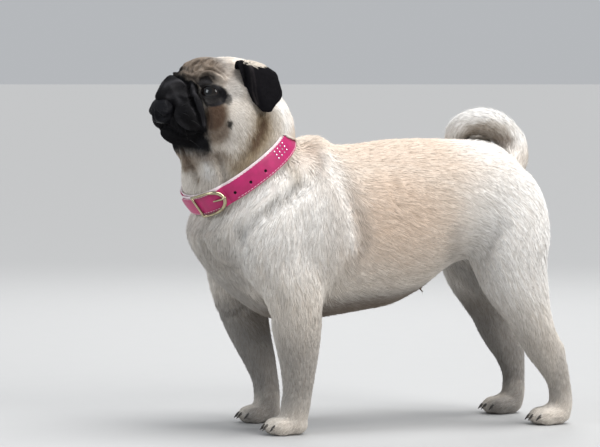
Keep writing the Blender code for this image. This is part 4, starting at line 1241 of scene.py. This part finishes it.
def make_tufts(name, pelt, spread, lies, lengths, heights, rng, material, bent=False, width=0.045):
    """Thin tapered tufts that rise from their roots, lie back along the skin and gather in locks."""
    roots, normals, unwrap = spread
    count = len(roots)
    lock = locks_of(roots, rng)
    swing = rng.normal(0, LOCK_SWING, count)[lock] + rng.normal(0, TUFT_SWING, count)
    across = np.cross(normals, lies)
    lies = lies * np.cos(swing)[:, None] + across * np.sin(swing)[:, None]
    across = np.cross(normals, lies)
    wide = (lengths * width + 0.2 * MM)[:, None]
    stray = rng.random(count) < STRAY_SHARE
    heights = heights * np.where(stray, rng.uniform(1.4, 2.2, count), rng.uniform(0.6, 1.2, count))
    targets = roots + lies * lengths[:, None]
    tips = pelt.above(targets + (targets[lock] - targets) * LOCK_PULL, heights)
    sunk = roots - normals * 0.25 * MM - lies * 0.2 * MM
    ridge = sunk + normals * (0.25 * MM + wide * 0.3)
    rows = [sunk - across * wide / 2, sunk + across * wide / 2, ridge]
    if bent:
        middles = pelt.above(roots + lies * (lengths * 0.45)[:, None], heights * 0.7)
        half = across * wide * 0.4
        rows += [middles - half, middles + half, middles + normals * wide * 0.3]
    rows.append(tips)
    corners = len(rows)
    faces = BENT_FACES if bent else STRAIGHT_FACES
    points = np.stack(rows, 1).reshape(-1, 3)
    points[:, 2] = np.maximum(points[:, 2], ABOVE_FLOOR)
    every = faces[None] + corners * np.arange(count)[:, None, None]
    made = mesh_from_arrays(name, points, every.reshape(-1, 3))
    paint(made, roots, corners)
    strand = np.zeros((count, corners, 3))
    strand[:, :, 0] = (rng.random(count) * 0.65 + rng.random(count)[lock] * 0.35)[:, None]
    # Green runs from 0 at the root to 1 at the tip, for painted shade towards the root
    strand[:, 3:, 1] = 0.5
    strand[:, -1, 1] = 1
    store_colour(made, "strand", strand.reshape(-1, 3))
    spots = np.array([(-1, 0), (1, 0), (0, 0.2), (-0.8, 0.5), (0.8, 0.5), (0, 0.6), (0, 1)]) * PATCH
    spots = spots if bent else spots[[0, 1, 2, 6]]
    uv = (unwrap[:, None] + spots[None])[:, faces.ravel()].reshape(-1, 2)
    made.data.uv_layers.new(name="OFBake").uv.foreach_set("vector", uv.astype(np.float32).ravel())
    finish_piece(made, material)
    lean = rng.normal(0, 0.10, (count, 1, 3))
    sides = np.resize(np.array([-0.35, 0.35, 0.0]), corners)
    sides[-1] = 0
    soft = unit(normals[:, None] + lean + across[:, None] * sides[None, :, None])
    made.data.normals_split_custom_set_from_vertices(soft.reshape(-1, 3))
    return made


STRAP_REACH = 0.078
NOSE_BARE = (0.0125, 0.0172, 0.0130)
OPENING_HALF = (10.6e-3, 6.9e-3)


def collar_cover(points):
    """0 where the strap lies on the neck, and 1 elsewhere."""
    offset = points - np.array(COLLAR_CENTRE)
    along = offset @ np.array(COLLAR_AXIS)
    flat = np.linalg.norm(offset - along[:, None] * np.array(COLLAR_AXIS), axis=1)
    return 1 - (np.abs(along) < COLLAR_WIDTH / 2 + 0.5 * MM) * (flat < STRAP_REACH)


def nose_cover(points):
    centre = np.array(HEAD @ NOSE_IN_HEAD)
    offset = (points - centre) @ np.array(HEAD.to_3x3())
    return (np.linalg.norm(offset / np.array(NOSE_BARE), axis=1) > 1.0).astype(float)


def eye_cover(points):
    keep = np.ones(len(points))
    for _, side in SIDES:
        turn = eye_matrix(side).inverted()
        local = points @ np.array(turn.to_3x3()).T + np.array(turn.translation)
        reach = np.linalg.norm(local, axis=1)
        across = np.abs(local[:, 1]) / OPENING_HALF[0]
        down = np.abs(local[:, 2]) / OPENING_HALF[1]
        opening = (local[:, 0] > 0) & (across**2 + down**2 < 1) & (reach < EYE_RADIUS + 6 * MM)
        inside = reach < EYE_RADIUS + 0.3 * MM
        keep[opening | inside] = 0
    return keep


COAT_PIECE_TUFTS = 49000


class PUG_OT_coat(bpy.types.Operator):
    """Grows the short coat over the skin, in pieces"""

    bl_idname = "pug.coat"
    bl_label = "Coat"

    def execute(self, context):
        held = context.scene.pug_coat
        rng = np.random.default_rng(held.seed)
        pelt = Pelt(bpy.data.objects["skin"])
        material = coat_finish(held, "coat")

        def density(points):
            length = hair_length(points, held)
            bare = collar_cover(points) * nose_cover(points) * eye_cover(points)
            return bare * (1 - tail_share(points)) / (length * (length + 3 * MM))

        spread = pelt.roots(density, held.tufts, rng)
        order = np.argsort(spread[0][:, 0])
        pieces = math.ceil(held.tufts / COAT_PIECE_TUFTS)
        for i, chunk in enumerate(np.array_split(order, pieces)):
            part = [column[chunk] for column in spread]
            self.grow(f"coat_{i + 1}", pelt, part, held, rng, material, False)
        spread = pelt.roots(tail_share, held.tail_tufts, rng)
        self.grow("coat_tail", pelt, spread, held, rng, material, True)
        return {"FINISHED"}

    def grow(self, name, pelt, spread, held, rng, material, bent):
        roots, normals, _ = spread
        lengths = hair_length(roots, held) * rng.uniform(0.75, 1.25, len(roots))
        heights = coat_depth(roots) * 0.8
        lies = lie_of(roots, normals)
        make_tufts(name, pelt, spread, lies, lengths, heights, rng, material, bent)


# Ears


EAR_STROKES = (
    # (width, lift, path on the left ear), in the head's frame
    (24, -55, 180, 495, 385, 140, 530, 240, 104, 540, 125, 32, 545, 10),
    (16, 24, 115, 525, 371, 85, 563, 239, 57, 573, 125, 8, 578, 25),
    (60, -12, 1, 565, 334, -44, 603, 214, -72, 637, 71),
    (22, 14, -180, 560, 290, -225, 590, 150, -160, 615, 40),
)
EAR_ROOT = tenths((60, 490, 420, 110, 100, 38))
# Width of the painted highlight along the flap's front edge
EAR_RIM_HIGHLIGHT_WIDTH = 0.0016
ROOT_TUFTS = 800
OUTWARDS = (0.2, 1.0, 0.1)
DOWN_THE_FLAP = (-0.35, 0.25, -1.0)
BACK_FROM_ROOT = (-0.80, 0.45, -0.45)


class PUG_OT_ears(bpy.types.Operator):
    """Makes both folded ears and their velvet"""

    bl_idname = "pug.ears"
    bl_label = "Ears"

    def execute(self, context):
        held = context.scene.pug_coat
        rng = np.random.default_rng(held.seed + 1)
        surface = Finish("ear_velvet", 0.70, {"Specular IOR Level": 0.06})
        # Painted highlight along the flap's front edge, where the fold catches the light
        lit = surface.attribute("rim").part("Red")
        tone = surface.attribute("strand").part("Red") * 0.5 + surface.noise(300.0, 2.0) * 0.5
        deep = tuple(0.7 * c for c in held.black)
        high = tuple(c * k for c, k in zip(held.black, (1.4, 1.3, 1.5)))
        surface.tint(lit, surface.mix(tone, deep, high), (0.085, 0.072, 0.072))
        surface.bump(surface.noise(1400.0, 2.0), 0.3 * MM, 0.5)
        pale = bpy.data.materials["coat"]
        turn = HEAD.to_3x3()
        for label, side in SIDES:
            ear = copy_of_nodes([f"ear_{label}"], f"ear_{label}_flap", 0.1 * MM)
            apply_modifier(ear, "REMESH", mode="VOXEL", voxel_size=0.6 * MM)
            keep_largest(ear)
            apply_modifier(ear, "SMOOTH", factor=0.5, iterations=18)
            outside = np.array(turn @ side_of(OUTWARDS, side))
            Sculptor(ear.data).carve(EAR_STROKES, HEAD, (side,), outside)
            apply_modifier(ear, "SMOOTH", factor=0.5, iterations=2)
            apply_modifier(ear, "TRIANGULATE")
            unwrap_as_baked(ear)
            self.paint_rim_highlight(ear, points_of(ear.data))
            finish_piece(ear, surface.material, [f"ear_{label}"])
            pelt = Pelt(ear)

            spread = pelt.roots(lambda p: np.ones(len(p)), held.ear_tufts // 2, rng)
            lies = combed(spread[1], np.array(turn @ side_of(DOWN_THE_FLAP, side)))
            count = len(spread[0])
            lengths = rng.uniform(1.4, 2.2, count) * MM
            heights = np.full(count, 0.25 * MM)
            fur = make_tufts(
                f"ear_{label}_coat", pelt, spread, lies, lengths, heights, rng,
                surface.material, True,
            )
            self.paint_rim_highlight(fur, np.repeat(spread[0], BENT_CORNERS, 0))

            spread = pelt.roots(lambda p: blob(in_head(p), *EAR_ROOT, 0.8), ROOT_TUFTS, rng)
            lies = combed(spread[1], np.array(turn @ side_of(BACK_FROM_ROOT, side)))
            lengths = rng.uniform(2.5, 4.5, ROOT_TUFTS) * MM
            heights = np.full(ROOT_TUFTS, 0.8 * MM)
            make_tufts(
                f"ear_{label}_root_coat", pelt, spread, lies, lengths, heights, rng, pale, True
            )
        return {"FINISHED"}

    def paint_rim_highlight(self, obj, points):
        """Marks a painted highlight along the flap's folded front edge."""
        path = tenths(EAR_STROKES[1][2:])
        store_colour(obj, "rim", band(in_head(points), path, EAR_RIM_HIGHLIGHT_WIDTH) * 0.8)


def unwrap_as_baked(obj):
    only(obj)
    bpy.ops.object.mode_set(mode="EDIT")
    bpy.ops.mesh.select_all(action="SELECT")
    bpy.ops.uv.smart_project(angle_limit=math.radians(66), island_margin=0.001)
    bpy.ops.object.mode_set(mode="OBJECT")
    obj.data.uv_layers[0].name = "OFBake"


# Eyes and nose


def eye_matrix(side):
    """The eye's place, with its local X along the gaze."""
    gaze = Matrix.Rotation(side * EYE_TURN_OUT, 4, "Z") @ Matrix.Rotation(-EYE_TURN_UP, 4, "Y")
    return HEAD @ Matrix.Translation(side_of(EYE_IN_HEAD, side)) @ gaze


# Angles from the gaze, in degrees
IRIS_REACH = 46
PUPIL_REACH = 24
LID_OPENING = (math.radians(56), math.radians(29))
LID_POINTS = 60
LID_RADIUS = 0.70 * MM


class PUG_OT_eyes(bpy.types.Operator):
    """Makes both eyeballs and the wet rims of their lids"""

    bl_idname = "pug.eyes"
    bl_label = "Eyes"

    def execute(self, context):
        ball = Finish("eyeball", 0.04, {"IOR": 1.45})
        reach = ball.attribute("gaze").part("Red")
        iris = ball.mix(ball.noise(700.0, 3.0), (0.003, 0.002, 0.002), (0.012, 0.007, 0.004))
        past_pupil = reach.between(PUPIL_REACH - 1, PUPIL_REACH + 1)
        past_iris = reach.between(IRIS_REACH - 3, IRIS_REACH + 3)
        ball.tint(past_iris, ball.mix(past_pupil, (0.002, 0.002, 0.003), iris), (0.035, 0.022, 0.018))
        rim = Finish("lid_rim", 0.40, {"Specular IOR Level": 0.3})
        rim.tint(rim.noise(500.0), (0.004, 0.004, 0.005), (0.010, 0.008, 0.009))
        for label, side in SIDES:
            bpy.ops.mesh.primitive_uv_sphere_add(segments=64, ring_count=40, radius=EYE_RADIUS)
            eye = context.object
            eye.name = f"eyeball_{label}"
            points = points_of(eye.data)
            forward = points[:, 2] / EYE_RADIUS
            angle = np.degrees(np.arccos(np.clip(forward, -1, 1)))
            swell = 1 + 0.045 * fade(angle, 52, 20)
            points = points * swell[:, None]
            put_points(eye.data, points[:, [2, 1, 0]] * np.array((1, 1, -1)))
            store_colour(eye, "gaze", angle)
            eye.data.transform(eye_matrix(side))
            turn_outwards(eye)
            finish_piece(eye, ball.material, [f"eye_{label}"])

            turns = np.linspace(0, math.tau, LID_POINTS, endpoint=False)
            length = 0.030
            wide, high = (math.tan(a) * length for a in LID_OPENING)
            squeeze = 1 - 0.35 * np.abs(np.cos(turns)) ** 3
            across, up = np.cos(turns) * wide, np.sin(turns) * high * squeeze
            rays = unit(np.column_stack([np.full(LID_POINTS, length), across, up]))
            path = rays * (EYE_RADIUS + 0.55 * MM)
            place = np.array(eye_matrix(side))
            path = path @ place[:3, :3].T + place[:3, 3]
            centre = np.array(eye_matrix(side).translation)
            lid = ring_tube(f"lid_rim_{label}", path, centre, LID_RADIUS)
            finish_piece(lid, rim.material)
        return {"FINISHED"}


def ring_tube(name, path, inner, radius, sides=10):
    """A closed ring of round section along a closed path, square to the direction from an inner point."""
    along = unit(np.roll(path, -1, 0) - np.roll(path, 1, 0))
    out = unit(path - inner)
    out = unit(out - along * (out * along).sum(1)[:, None])
    other = np.cross(along, out)
    turn = np.linspace(0, math.tau, sides, endpoint=False)
    ring = out[:, None] * np.cos(turn)[None, :, None] + other[:, None] * np.sin(turn)[None, :, None]
    return closed_ring(name, (path[:, None] + ring * radius).reshape(-1, 3), len(path), sides)


NOSE_HALF = Vector((11.2, 15.6, 12.0)) * MM
NOSE_POWER = 2.6
NOSE_STROKES = (
    # (width, lift, path on the left half of the nose), in the head's frame
    (16, -42, 800, 50, -205, 785, 60, -245, 765, 85, -262, 745, 125, -255, 725, 155, -230),
    (24, -48, 805, 60, -215, 785, 85, -235, 765, 105, -235),
    (24, 12, 800, 85, -175, 770, 130, -200, 735, 155, -190),
    (50, 16, 720, 110, -65, 760, 30, -65),
    (18, -8, 740, 130, -85, 720, 160, -140),
)
NOSE_MIDDLE = ((10, -22, 835, 0, -185, 820, 0, -240, 780, 0, -300),)


class PUG_OT_nose(bpy.types.Operator):
    """Makes the pebbled nose leather with its nostrils"""

    bl_idname = "pug.nose"
    bl_label = "Nose"

    def execute(self, context):
        deselect()
        bpy.ops.mesh.primitive_ico_sphere_add(subdivisions=6, radius=1)
        nose = context.object
        nose.name = "nose_pad"
        nose.data.name = "nose_pad"
        points = points_of(nose.data)
        points /= (np.abs(points) ** NOSE_POWER).sum(1, keepdims=True) ** (1 / NOSE_POWER)
        put_points(nose.data, points)
        nose.data.transform(HEAD @ Matrix.Translation(NOSE_IN_HEAD) @ Matrix.Diagonal((*NOSE_HALF, 1)))
        sculptor = Sculptor(nose.data)
        sculptor.carve(NOSE_STROKES, HEAD)
        sculptor.carve(NOSE_MIDDLE, HEAD, (1,))
        apply_modifier(nose, "SMOOTH", factor=0.5, iterations=6)
        surface = Finish("nose_leather", 0.50, {"Specular IOR Level": 0.08})
        surface.tint(surface.noise(300.0), (0.0025, 0.0025, 0.0035), (0.008, 0.008, 0.010))
        surface.bump(surface.cells(850.0), 0.35 * MM, 0.7)
        finish_piece(nose, surface.material, ["nose"])
        return {"FINISHED"}


# Claws and whiskers

FEET = {
    # (middle of the foot along X and Y, how far its toes reach on)
    "fore_left": (-0.0832, -0.053, 0.0020),
    "fore_right": (-0.0777, 0.053, 0.0020),
    "hind_left": (0.1958, -0.052, 0.0),
    "hind_right": (0.1858, 0.052, 0.0),
}
TOE_SPREAD = 8.6 * MM
CLAW_LENGTH = 7.0 * MM
CLAW_RADIUS = 1.9 * MM
TOE_REACH = {1: 0.0165, 3: 0.0115}
CLAW_ROOT = (0.0062, 0.0096)
CLAW_STEPS = 8


class PUG_OT_claws(bpy.types.Operator):
    """Makes four curved claws for each foot"""

    bl_idname = "pug.claws"
    bl_label = "Claws"

    def execute(self, context):
        surface = Finish("claw", roughness=0.35)
        streaks = surface.noise(500.0, 2.0, (0.3, 1, 1))
        surface.tint(streaks, (0.012, 0.011, 0.010), (0.060, 0.050, 0.042))
        steps = np.linspace(0, 1, CLAW_STEPS)
        curve = np.column_stack([-steps, np.zeros(CLAW_STEPS), -0.15 * steps - 0.55 * steps**2])
        radii = CLAW_RADIUS * (1 - steps**1.6 * 0.92)
        for label, (x, y, advance) in FEET.items():
            claws = []
            for k in (-3, -1, 1, 3):
                toe_x = x - TOE_REACH[abs(k)] - advance
                start = np.array((toe_x - CLAW_ROOT[0], y + k * TOE_SPREAD / 2, CLAW_ROOT[1]))
                claws.append(tube("claw", start + curve * CLAW_LENGTH, radii, 10, 1.15))
            finish_piece(join(claws, f"claws_{label}"), surface.material)
        return {"FINISHED"}


WHISKER_ROOTS = (
    (690, 200, -180), (660, 230, -230), (620, 260, -190), (600, 270, -270), (560, 290, -230),
    (640, 240, -130), (480, 220, -460), (380, 300, 270),
)


class PUG_OT_whiskers(bpy.types.Operator):
    """Sets a few thin whiskers in the muzzle, chin and brows"""

    bl_idname = "pug.whiskers"
    bl_label = "Whiskers"

    def execute(self, context):
        rng = np.random.default_rng(context.scene.pug_coat.seed + 2)
        tree = surface_tree(bpy.data.objects["skin"].data)
        surface = Finish("whisker", roughness=0.4)
        surface.tint(surface.noise(200.0), (0.006, 0.006, 0.006), (0.020, 0.018, 0.018))
        whiskers = []
        for place in tenths(WHISKER_ROOTS):
            for _, side in SIDES:
                root, normal, _, _ = tree.find_nearest(HEAD @ side_of(place, side))
                back = HEAD.to_3x3() @ Vector((-0.75, 0.35 * side, -0.15 + 0.5 * rng.random()))
                heading = (normal * 0.9 + back).normalized()
                length = rng.uniform(9, 15) * MM
                steps = np.linspace(0, 1, 7)[:, None]
                sag = np.array((0, 0, -1.0)) * steps**2 * length * 0.25
                sunk = np.array(root) - np.array(normal) * 0.5 * MM
                path = sunk + np.array(heading) * steps * length + sag
                whiskers.append(tube("whisker", path, 0.16 * MM * (1 - 0.85 * steps[:, 0]), 5))
        finish_piece(join(whiskers, "whiskers"), surface.material)
        return {"FINISHED"}


# Collar

COLLAR_CENTRE = SKULL + Vector((0.0084, 0.0, -0.0618))
COLLAR_AXIS = Vector((-0.736, -0.071, 1.0)).normalized()
COLLAR_WIDTH = 21.5 * MM
COLLAR_FRONT = 57.8 * MM
COLLAR_BACK = 58.5 * MM
COLLAR_SIDE = 63.0 * MM
COLLAR_POWER = 2.25
STRAP_STEPS = 192
FREE_END = (math.radians(-10), math.radians(61))
BUCKLE_ANGLE = math.radians(26)
BUCKLE_LENGTH = 43.0 * MM
BUCKLE_RADIUS = 0.068
HOLE_ANGLES = tuple(math.radians(a) for a in (66, 82, 98))
HOLE_ALONG = -2.6 * MM
STITCH_PITCH = 3.4 * MM
STITCH_RADIUS = 60 * MM
STRIP_RADIUS = 0.062
SINK_ANGLE = math.radians(9)
SINK_DEPTH = 3.6 * MM
TIP_LENGTH = 12 * MM
LOWERED = 0.8 * MM


def collar_frame():
    """The strap's plane: its forward and left directions."""
    axis = np.array(COLLAR_AXIS)
    forward = np.array((-1.0, 0, 0))
    forward = unit(forward - axis * (axis @ forward))
    return forward, np.cross(axis, forward)


def collar_radius(angles):
    """The strap's inner radius: an oval, fuller at the throat than at the nape."""
    reach = np.where(np.cos(angles) > 0, COLLAR_FRONT, COLLAR_BACK)
    ahead, aside = np.abs(np.cos(angles) / reach), np.abs(np.sin(angles) / COLLAR_SIDE)
    return (ahead**COLLAR_POWER + aside**COLLAR_POWER) ** (-1 / COLLAR_POWER)


def collar_points(angles, out, along):
    """Places at angles round the neck, out from the strap's inner face and along the neck's axis."""
    forward, left = collar_frame()
    angles, out, along = np.broadcast_arrays(np.atleast_1d(angles), out, along)
    direction = forward * np.cos(angles)[:, None] + left * np.sin(angles)[:, None]
    radius = collar_radius(angles) + out
    return np.array(COLLAR_CENTRE) + direction * radius[:, None] + np.array(COLLAR_AXIS) * along[:, None]


def matrix_on_strap(angle, out, along):
    """A place on the strap, with its local Z pointing out from the neck."""
    place = Vector(collar_points(angle, out, along)[0])
    outward = (Vector(collar_points(angle, out + MM, along)[0]) - place).normalized()
    return Matrix.Translation(place) @ outward.to_track_quat("Z", "Y").to_matrix().to_4x4()


def rounded_section(inner, outer, half_width, bevel, crown):
    """Corners of a strap's section as (out, along), its outer face a little crowned."""
    edge = half_width - bevel
    section = [(inner, edge), (inner, 0.0), (inner, -half_width + bevel)]
    turns = [math.radians(turn) for turn in (-90, -45, 0, 0, 45, 90)]
    corner = [(outer - bevel + bevel * math.cos(a), bevel * math.sin(a)) for a in turns]
    section += [(out, -half_width + bevel + along) for out, along in corner[:3]]
    section += [(outer + crown * (1 - share**2), share * half_width) for share in (-0.6, 0.0, 0.6)]
    return section + [(out, edge + along) for out, along in corner[3:]]


def lowered(section):
    """A section moved down a little, so that the lining shows above it."""
    return [(out, along - LOWERED) for out, along in section]


def strap_ring(name, section, steps=STRAP_STEPS):
    angles = np.linspace(0, math.tau, steps, endpoint=False)
    rows = np.stack([collar_points(angles, out, along) for out, along in section], 1)
    return closed_ring(name, rows.reshape(-1, 3), steps, len(section))


def strap_strip(name, section, ends, steps=64):
    """A length of strap between two angles, its first end rounded and its last sunk in the strap."""
    angles = np.linspace(ends[0], ends[1], steps)
    reach = (angles - ends[0]) * STRIP_RADIUS
    narrow = np.sqrt(np.clip(1 - (1 - np.minimum(reach / TIP_LENGTH, 1)) ** 2, 0.02, 1))
    sink = fade(angles, ends[1] - SINK_ANGLE, ends[1]) * SINK_DEPTH
    rows = np.stack([collar_points(angles, out - sink, along * narrow) for out, along in section], 1)
    ends_of = np.stack([rows[0].mean(0), rows[-1].mean(0)])
    points = np.concatenate([rows.reshape(-1, 3), ends_of])
    return closed_loft(name, points, steps, len(section))


def stitches(name, span, out, half_width, thread):
    """Two rows of short stitches between two angles, one joined mesh."""
    points, faces = [], []
    half = 1.15 * MM / STITCH_RADIUS
    block = [[0, 1, 2, 3], [4, 7, 6, 5], [0, 4, 5, 1], [1, 5, 6, 2], [2, 6, 7, 3], [3, 7, 4, 0]]
    count = int((span[1] - span[0]) * STITCH_RADIUS / STITCH_PITCH)
    for row in (-1, 1):
        for k in range(count):
            centre = span[0] + (k + 0.5) * STITCH_PITCH / STITCH_RADIUS
            faces.append(np.array(block) + len(points))
            for lift, shrink in ((0.0, 1.0), (0.28 * MM, 0.72)):
                for a, w in ((-1, -1), (1, -1), (1, 1), (-1, 1)):
                    along = row * (half_width - 1.9 * MM) + w * 0.26 * MM * shrink
                    points.append(collar_points(centre + a * half * shrink, out + lift, along)[0])
    made = mesh_from_arrays(name, np.array(points), np.concatenate(faces))
    turn_outwards(made)
    return finish_piece(made, thread, smooth=False)


def punch_holes(strap, angles, out, dark):
    """Round holes through the outer leather, each with a dark floor in painted shade."""
    cutters = []
    for angle in angles:
        bpy.ops.mesh.primitive_cylinder_add(vertices=20, radius=1.55 * MM, depth=2.4 * MM)
        cutter = bpy.context.object
        cutter.data.transform(matrix_on_strap(angle, out, HOLE_ALONG))
        cutter.data.materials.append(dark)
        cutters.append(cutter)
    cutter = join(cutters, "hole_cutter")
    settings = {"operation": "DIFFERENCE", "solver": "EXACT", "material_mode": "TRANSFER"}
    apply_modifier(strap, "BOOLEAN", object=cutter, **settings)
    bpy.data.objects.remove(cutter)


def leather(name, colour, roughness, grain):
    surface = Finish(name, roughness=roughness)
    colour = tuple(colour)
    wear = surface.noise(120.0, 4.0)
    surface.tint(wear.between(0.35, 0.75), tuple(c * 0.80 for c in colour), colour)
    surface.bump(surface.cells(grain), 0.12 * MM, 0.5)
    surface.use("Roughness", wear * 0.25 + (roughness - 0.1))
    return surface.material


class PUG_OT_strap(bpy.types.Operator):
    """Makes the collar's strap, its lining, its free end and the stitching"""

    bl_idname = "pug.strap"
    bl_label = "Strap"

    def execute(self, context):
        held = context.scene.pug_collar
        pink = leather("collar_leather", held.pink, 0.42, 1500.0)
        pale = leather("collar_lining", held.lining, 0.55, 1200.0)
        thread = leather("thread", held.thread, 0.6, 2500.0)
        # Near-black painted shade for the floors of the holes
        dark = leather("hole_shade", (0.02, 0.004, 0.01), 0.8, 1500.0)
        half, thick = held.width / 2, held.thickness

        def layers(inner):
            """Sections of the lining and of the leather on it."""
            between = inner + thick * 0.42
            outer = rounded_section(between, inner + thick, half - 1.2 * MM, 0.6 * MM, 0.15 * MM)
            return rounded_section(inner, between, half, 0.35 * MM, 0.0), lowered(outer)

        under, over = layers(0.0)
        finish_piece(strap_ring("collar_lining", under), pale)
        strap = strap_ring("collar_leather", over)
        strap.data.materials.append(pink)
        punch_holes(strap, HOLE_ANGLES, thick, dark)
        finish_piece(strap, None, ["collar_strap"])
        second = thick + 0.3 * MM
        under, over = layers(second)
        finish_piece(strap_strip("collar_end_lining", under, FREE_END), pale)
        end = strap_strip("collar_end_leather", over, FREE_END)
        finish_piece(end, pink, ["collar_end"])
        clear = math.radians(4)
        long_way = (FREE_END[1] + clear, math.tau + FREE_END[0] - clear)
        stitches("collar_stitching", long_way, thick, half, thread)
        short_way = (FREE_END[0] + 10 * MM / STITCH_RADIUS, FREE_END[1] - SINK_ANGLE)
        stitches("collar_end_stitching", short_way, second + thick, half, thread)
        return {"FINISHED"}


STUD_ANGLES = tuple(math.radians(a) for a in (115, 119.5, 124, 128.5))
STUD_ROWS = (-2.0 * MM, 2.0 * MM, 6.0 * MM)


class PUG_OT_studs(bpy.types.Operator):
    """Sets small cut stones in the strap behind the cheek"""

    bl_idname = "pug.studs"
    bl_label = "Studs"

    def execute(self, context):
        held = context.scene.pug_collar
        surface = Finish("stone", 0.06, {"Metallic": 0.6})
        surface.tint(surface.noise(1500.0), (0.42, 0.40, 0.45), (0.75, 0.72, 0.78))
        stones = []
        for angle in STUD_ANGLES:
            for row in STUD_ROWS:
                bpy.ops.mesh.primitive_ico_sphere_add(subdivisions=1, radius=1.0 * MM)
                stone = context.object
                stone.data.transform(Matrix.Diagonal((1, 1, 0.75, 1)))
                stone.data.transform(matrix_on_strap(angle, held.thickness, row))
                stones.append(stone)
        stones = join(stones, "collar_studs")
        finish_piece(stones, surface.material, smooth=False)
        return {"FINISHED"}


class PUG_OT_buckle(bpy.types.Operator):
    """Makes the buckle's bowed frame, its bar and its tongue"""

    bl_idname = "pug.buckle"
    bl_label = "Buckle"

    def execute(self, context):
        held = context.scene.pug_collar
        surface = Finish("buckle_metal", 0.22, {"Metallic": 1.0})
        colour = tuple(held.metal)
        wear = surface.noise(300.0, 4.0)
        surface.tint(wear.between(0.4, 0.7), colour, tuple(c * 0.7 for c in colour))
        surface.use("Roughness", wear * 0.25 + 0.10)
        out = 2 * held.thickness + 0.6 * MM + 1.4 * MM
        reach = BUCKLE_LENGTH / BUCKLE_RADIUS
        turns = np.linspace(-math.pi / 2, math.pi / 2, 40)
        swell = np.maximum(0.0, np.cos(turns)) ** 0.6
        half = 11.4 * MM + 2.0 * MM * np.cos(turns)
        bow = collar_points(BUCKLE_ANGLE + reach * 0.85 * swell, out, np.sin(turns) * half)
        bar = collar_points(np.full(12, BUCKLE_ANGLE), out, np.linspace(11.4, -11.4, 14)[1:-1] * MM)
        path = np.concatenate([bow, bar])
        radii = np.concatenate([1.2 * MM + 0.7 * MM * np.cos(turns), np.full(12, 1.2 * MM)])
        made = ring_tube("buckle_frame", path, np.array(COLLAR_CENTRE), radii[:, None, None], 12)
        finish_piece(made, surface.material, ["collar_buckle"])
        share = np.linspace(0.46, 0.92, 24)
        lift = np.interp(share, (0.46, 0.60, 0.72, 0.82, 0.92), np.array((-3.6, -1.8, 0.4, 2.4, 2.8)) * MM)
        path = collar_points(BUCKLE_ANGLE + reach * share, out + lift, 0.0)
        tongue = tube("buckle_tongue", path, 1.1 * MM, 12, side=COLLAR_AXIS)
        finish_piece(tongue, surface.material)
        return {"FINISHED"}


# The add-on


class PUG_PT_panel(bpy.types.Panel):
    bl_label = "Pug"
    bl_idname = "PUG_PT_panel"
    bl_space_type = "VIEW_3D"
    bl_region_type = "UI"
    bl_category = "Pug"

    def draw(self, context):
        for made in OPERATORS:
            self.layout.operator(made.bl_idname)
        for group in ("pug_coat", "pug_collar", "pug_stage"):
            held = getattr(context.scene, group)
            for key in held.__annotations__:
                self.layout.prop(held, key)


SETTINGS = (CoatSettings, CollarSettings, StageSettings)
OPERATORS = (
    PUG_OT_stage, PUG_OT_skin, PUG_OT_coat, PUG_OT_ears, PUG_OT_eyes, PUG_OT_nose, PUG_OT_claws,
    PUG_OT_whiskers, PUG_OT_strap, PUG_OT_studs, PUG_OT_buckle,
)


def register():
    for made in (*SETTINGS, *OPERATORS, PUG_PT_panel):
        bpy.utils.register_class(made)
    bpy.types.Scene.pug_coat = PointerProperty(type=CoatSettings)
    bpy.types.Scene.pug_collar = PointerProperty(type=CollarSettings)
    bpy.types.Scene.pug_stage = PointerProperty(type=StageSettings)


def unregister():
    del bpy.types.Scene.pug_coat, bpy.types.Scene.pug_collar, bpy.types.Scene.pug_stage
    for made in reversed((*SETTINGS, *OPERATORS, PUG_PT_panel)):
        bpy.utils.unregister_class(made)


def main():
    register()
    bpy.ops.pug.stage()
    bpy.ops.pug.skin()
    bpy.ops.pug.coat()
    bpy.ops.pug.ears()
    bpy.ops.pug.eyes()
    bpy.ops.pug.nose()
    bpy.ops.pug.claws()
    bpy.ops.pug.whiskers()
    bpy.ops.pug.strap()
    bpy.ops.pug.studs()
    bpy.ops.pug.buckle()


if __name__ == "__main__":
    main()
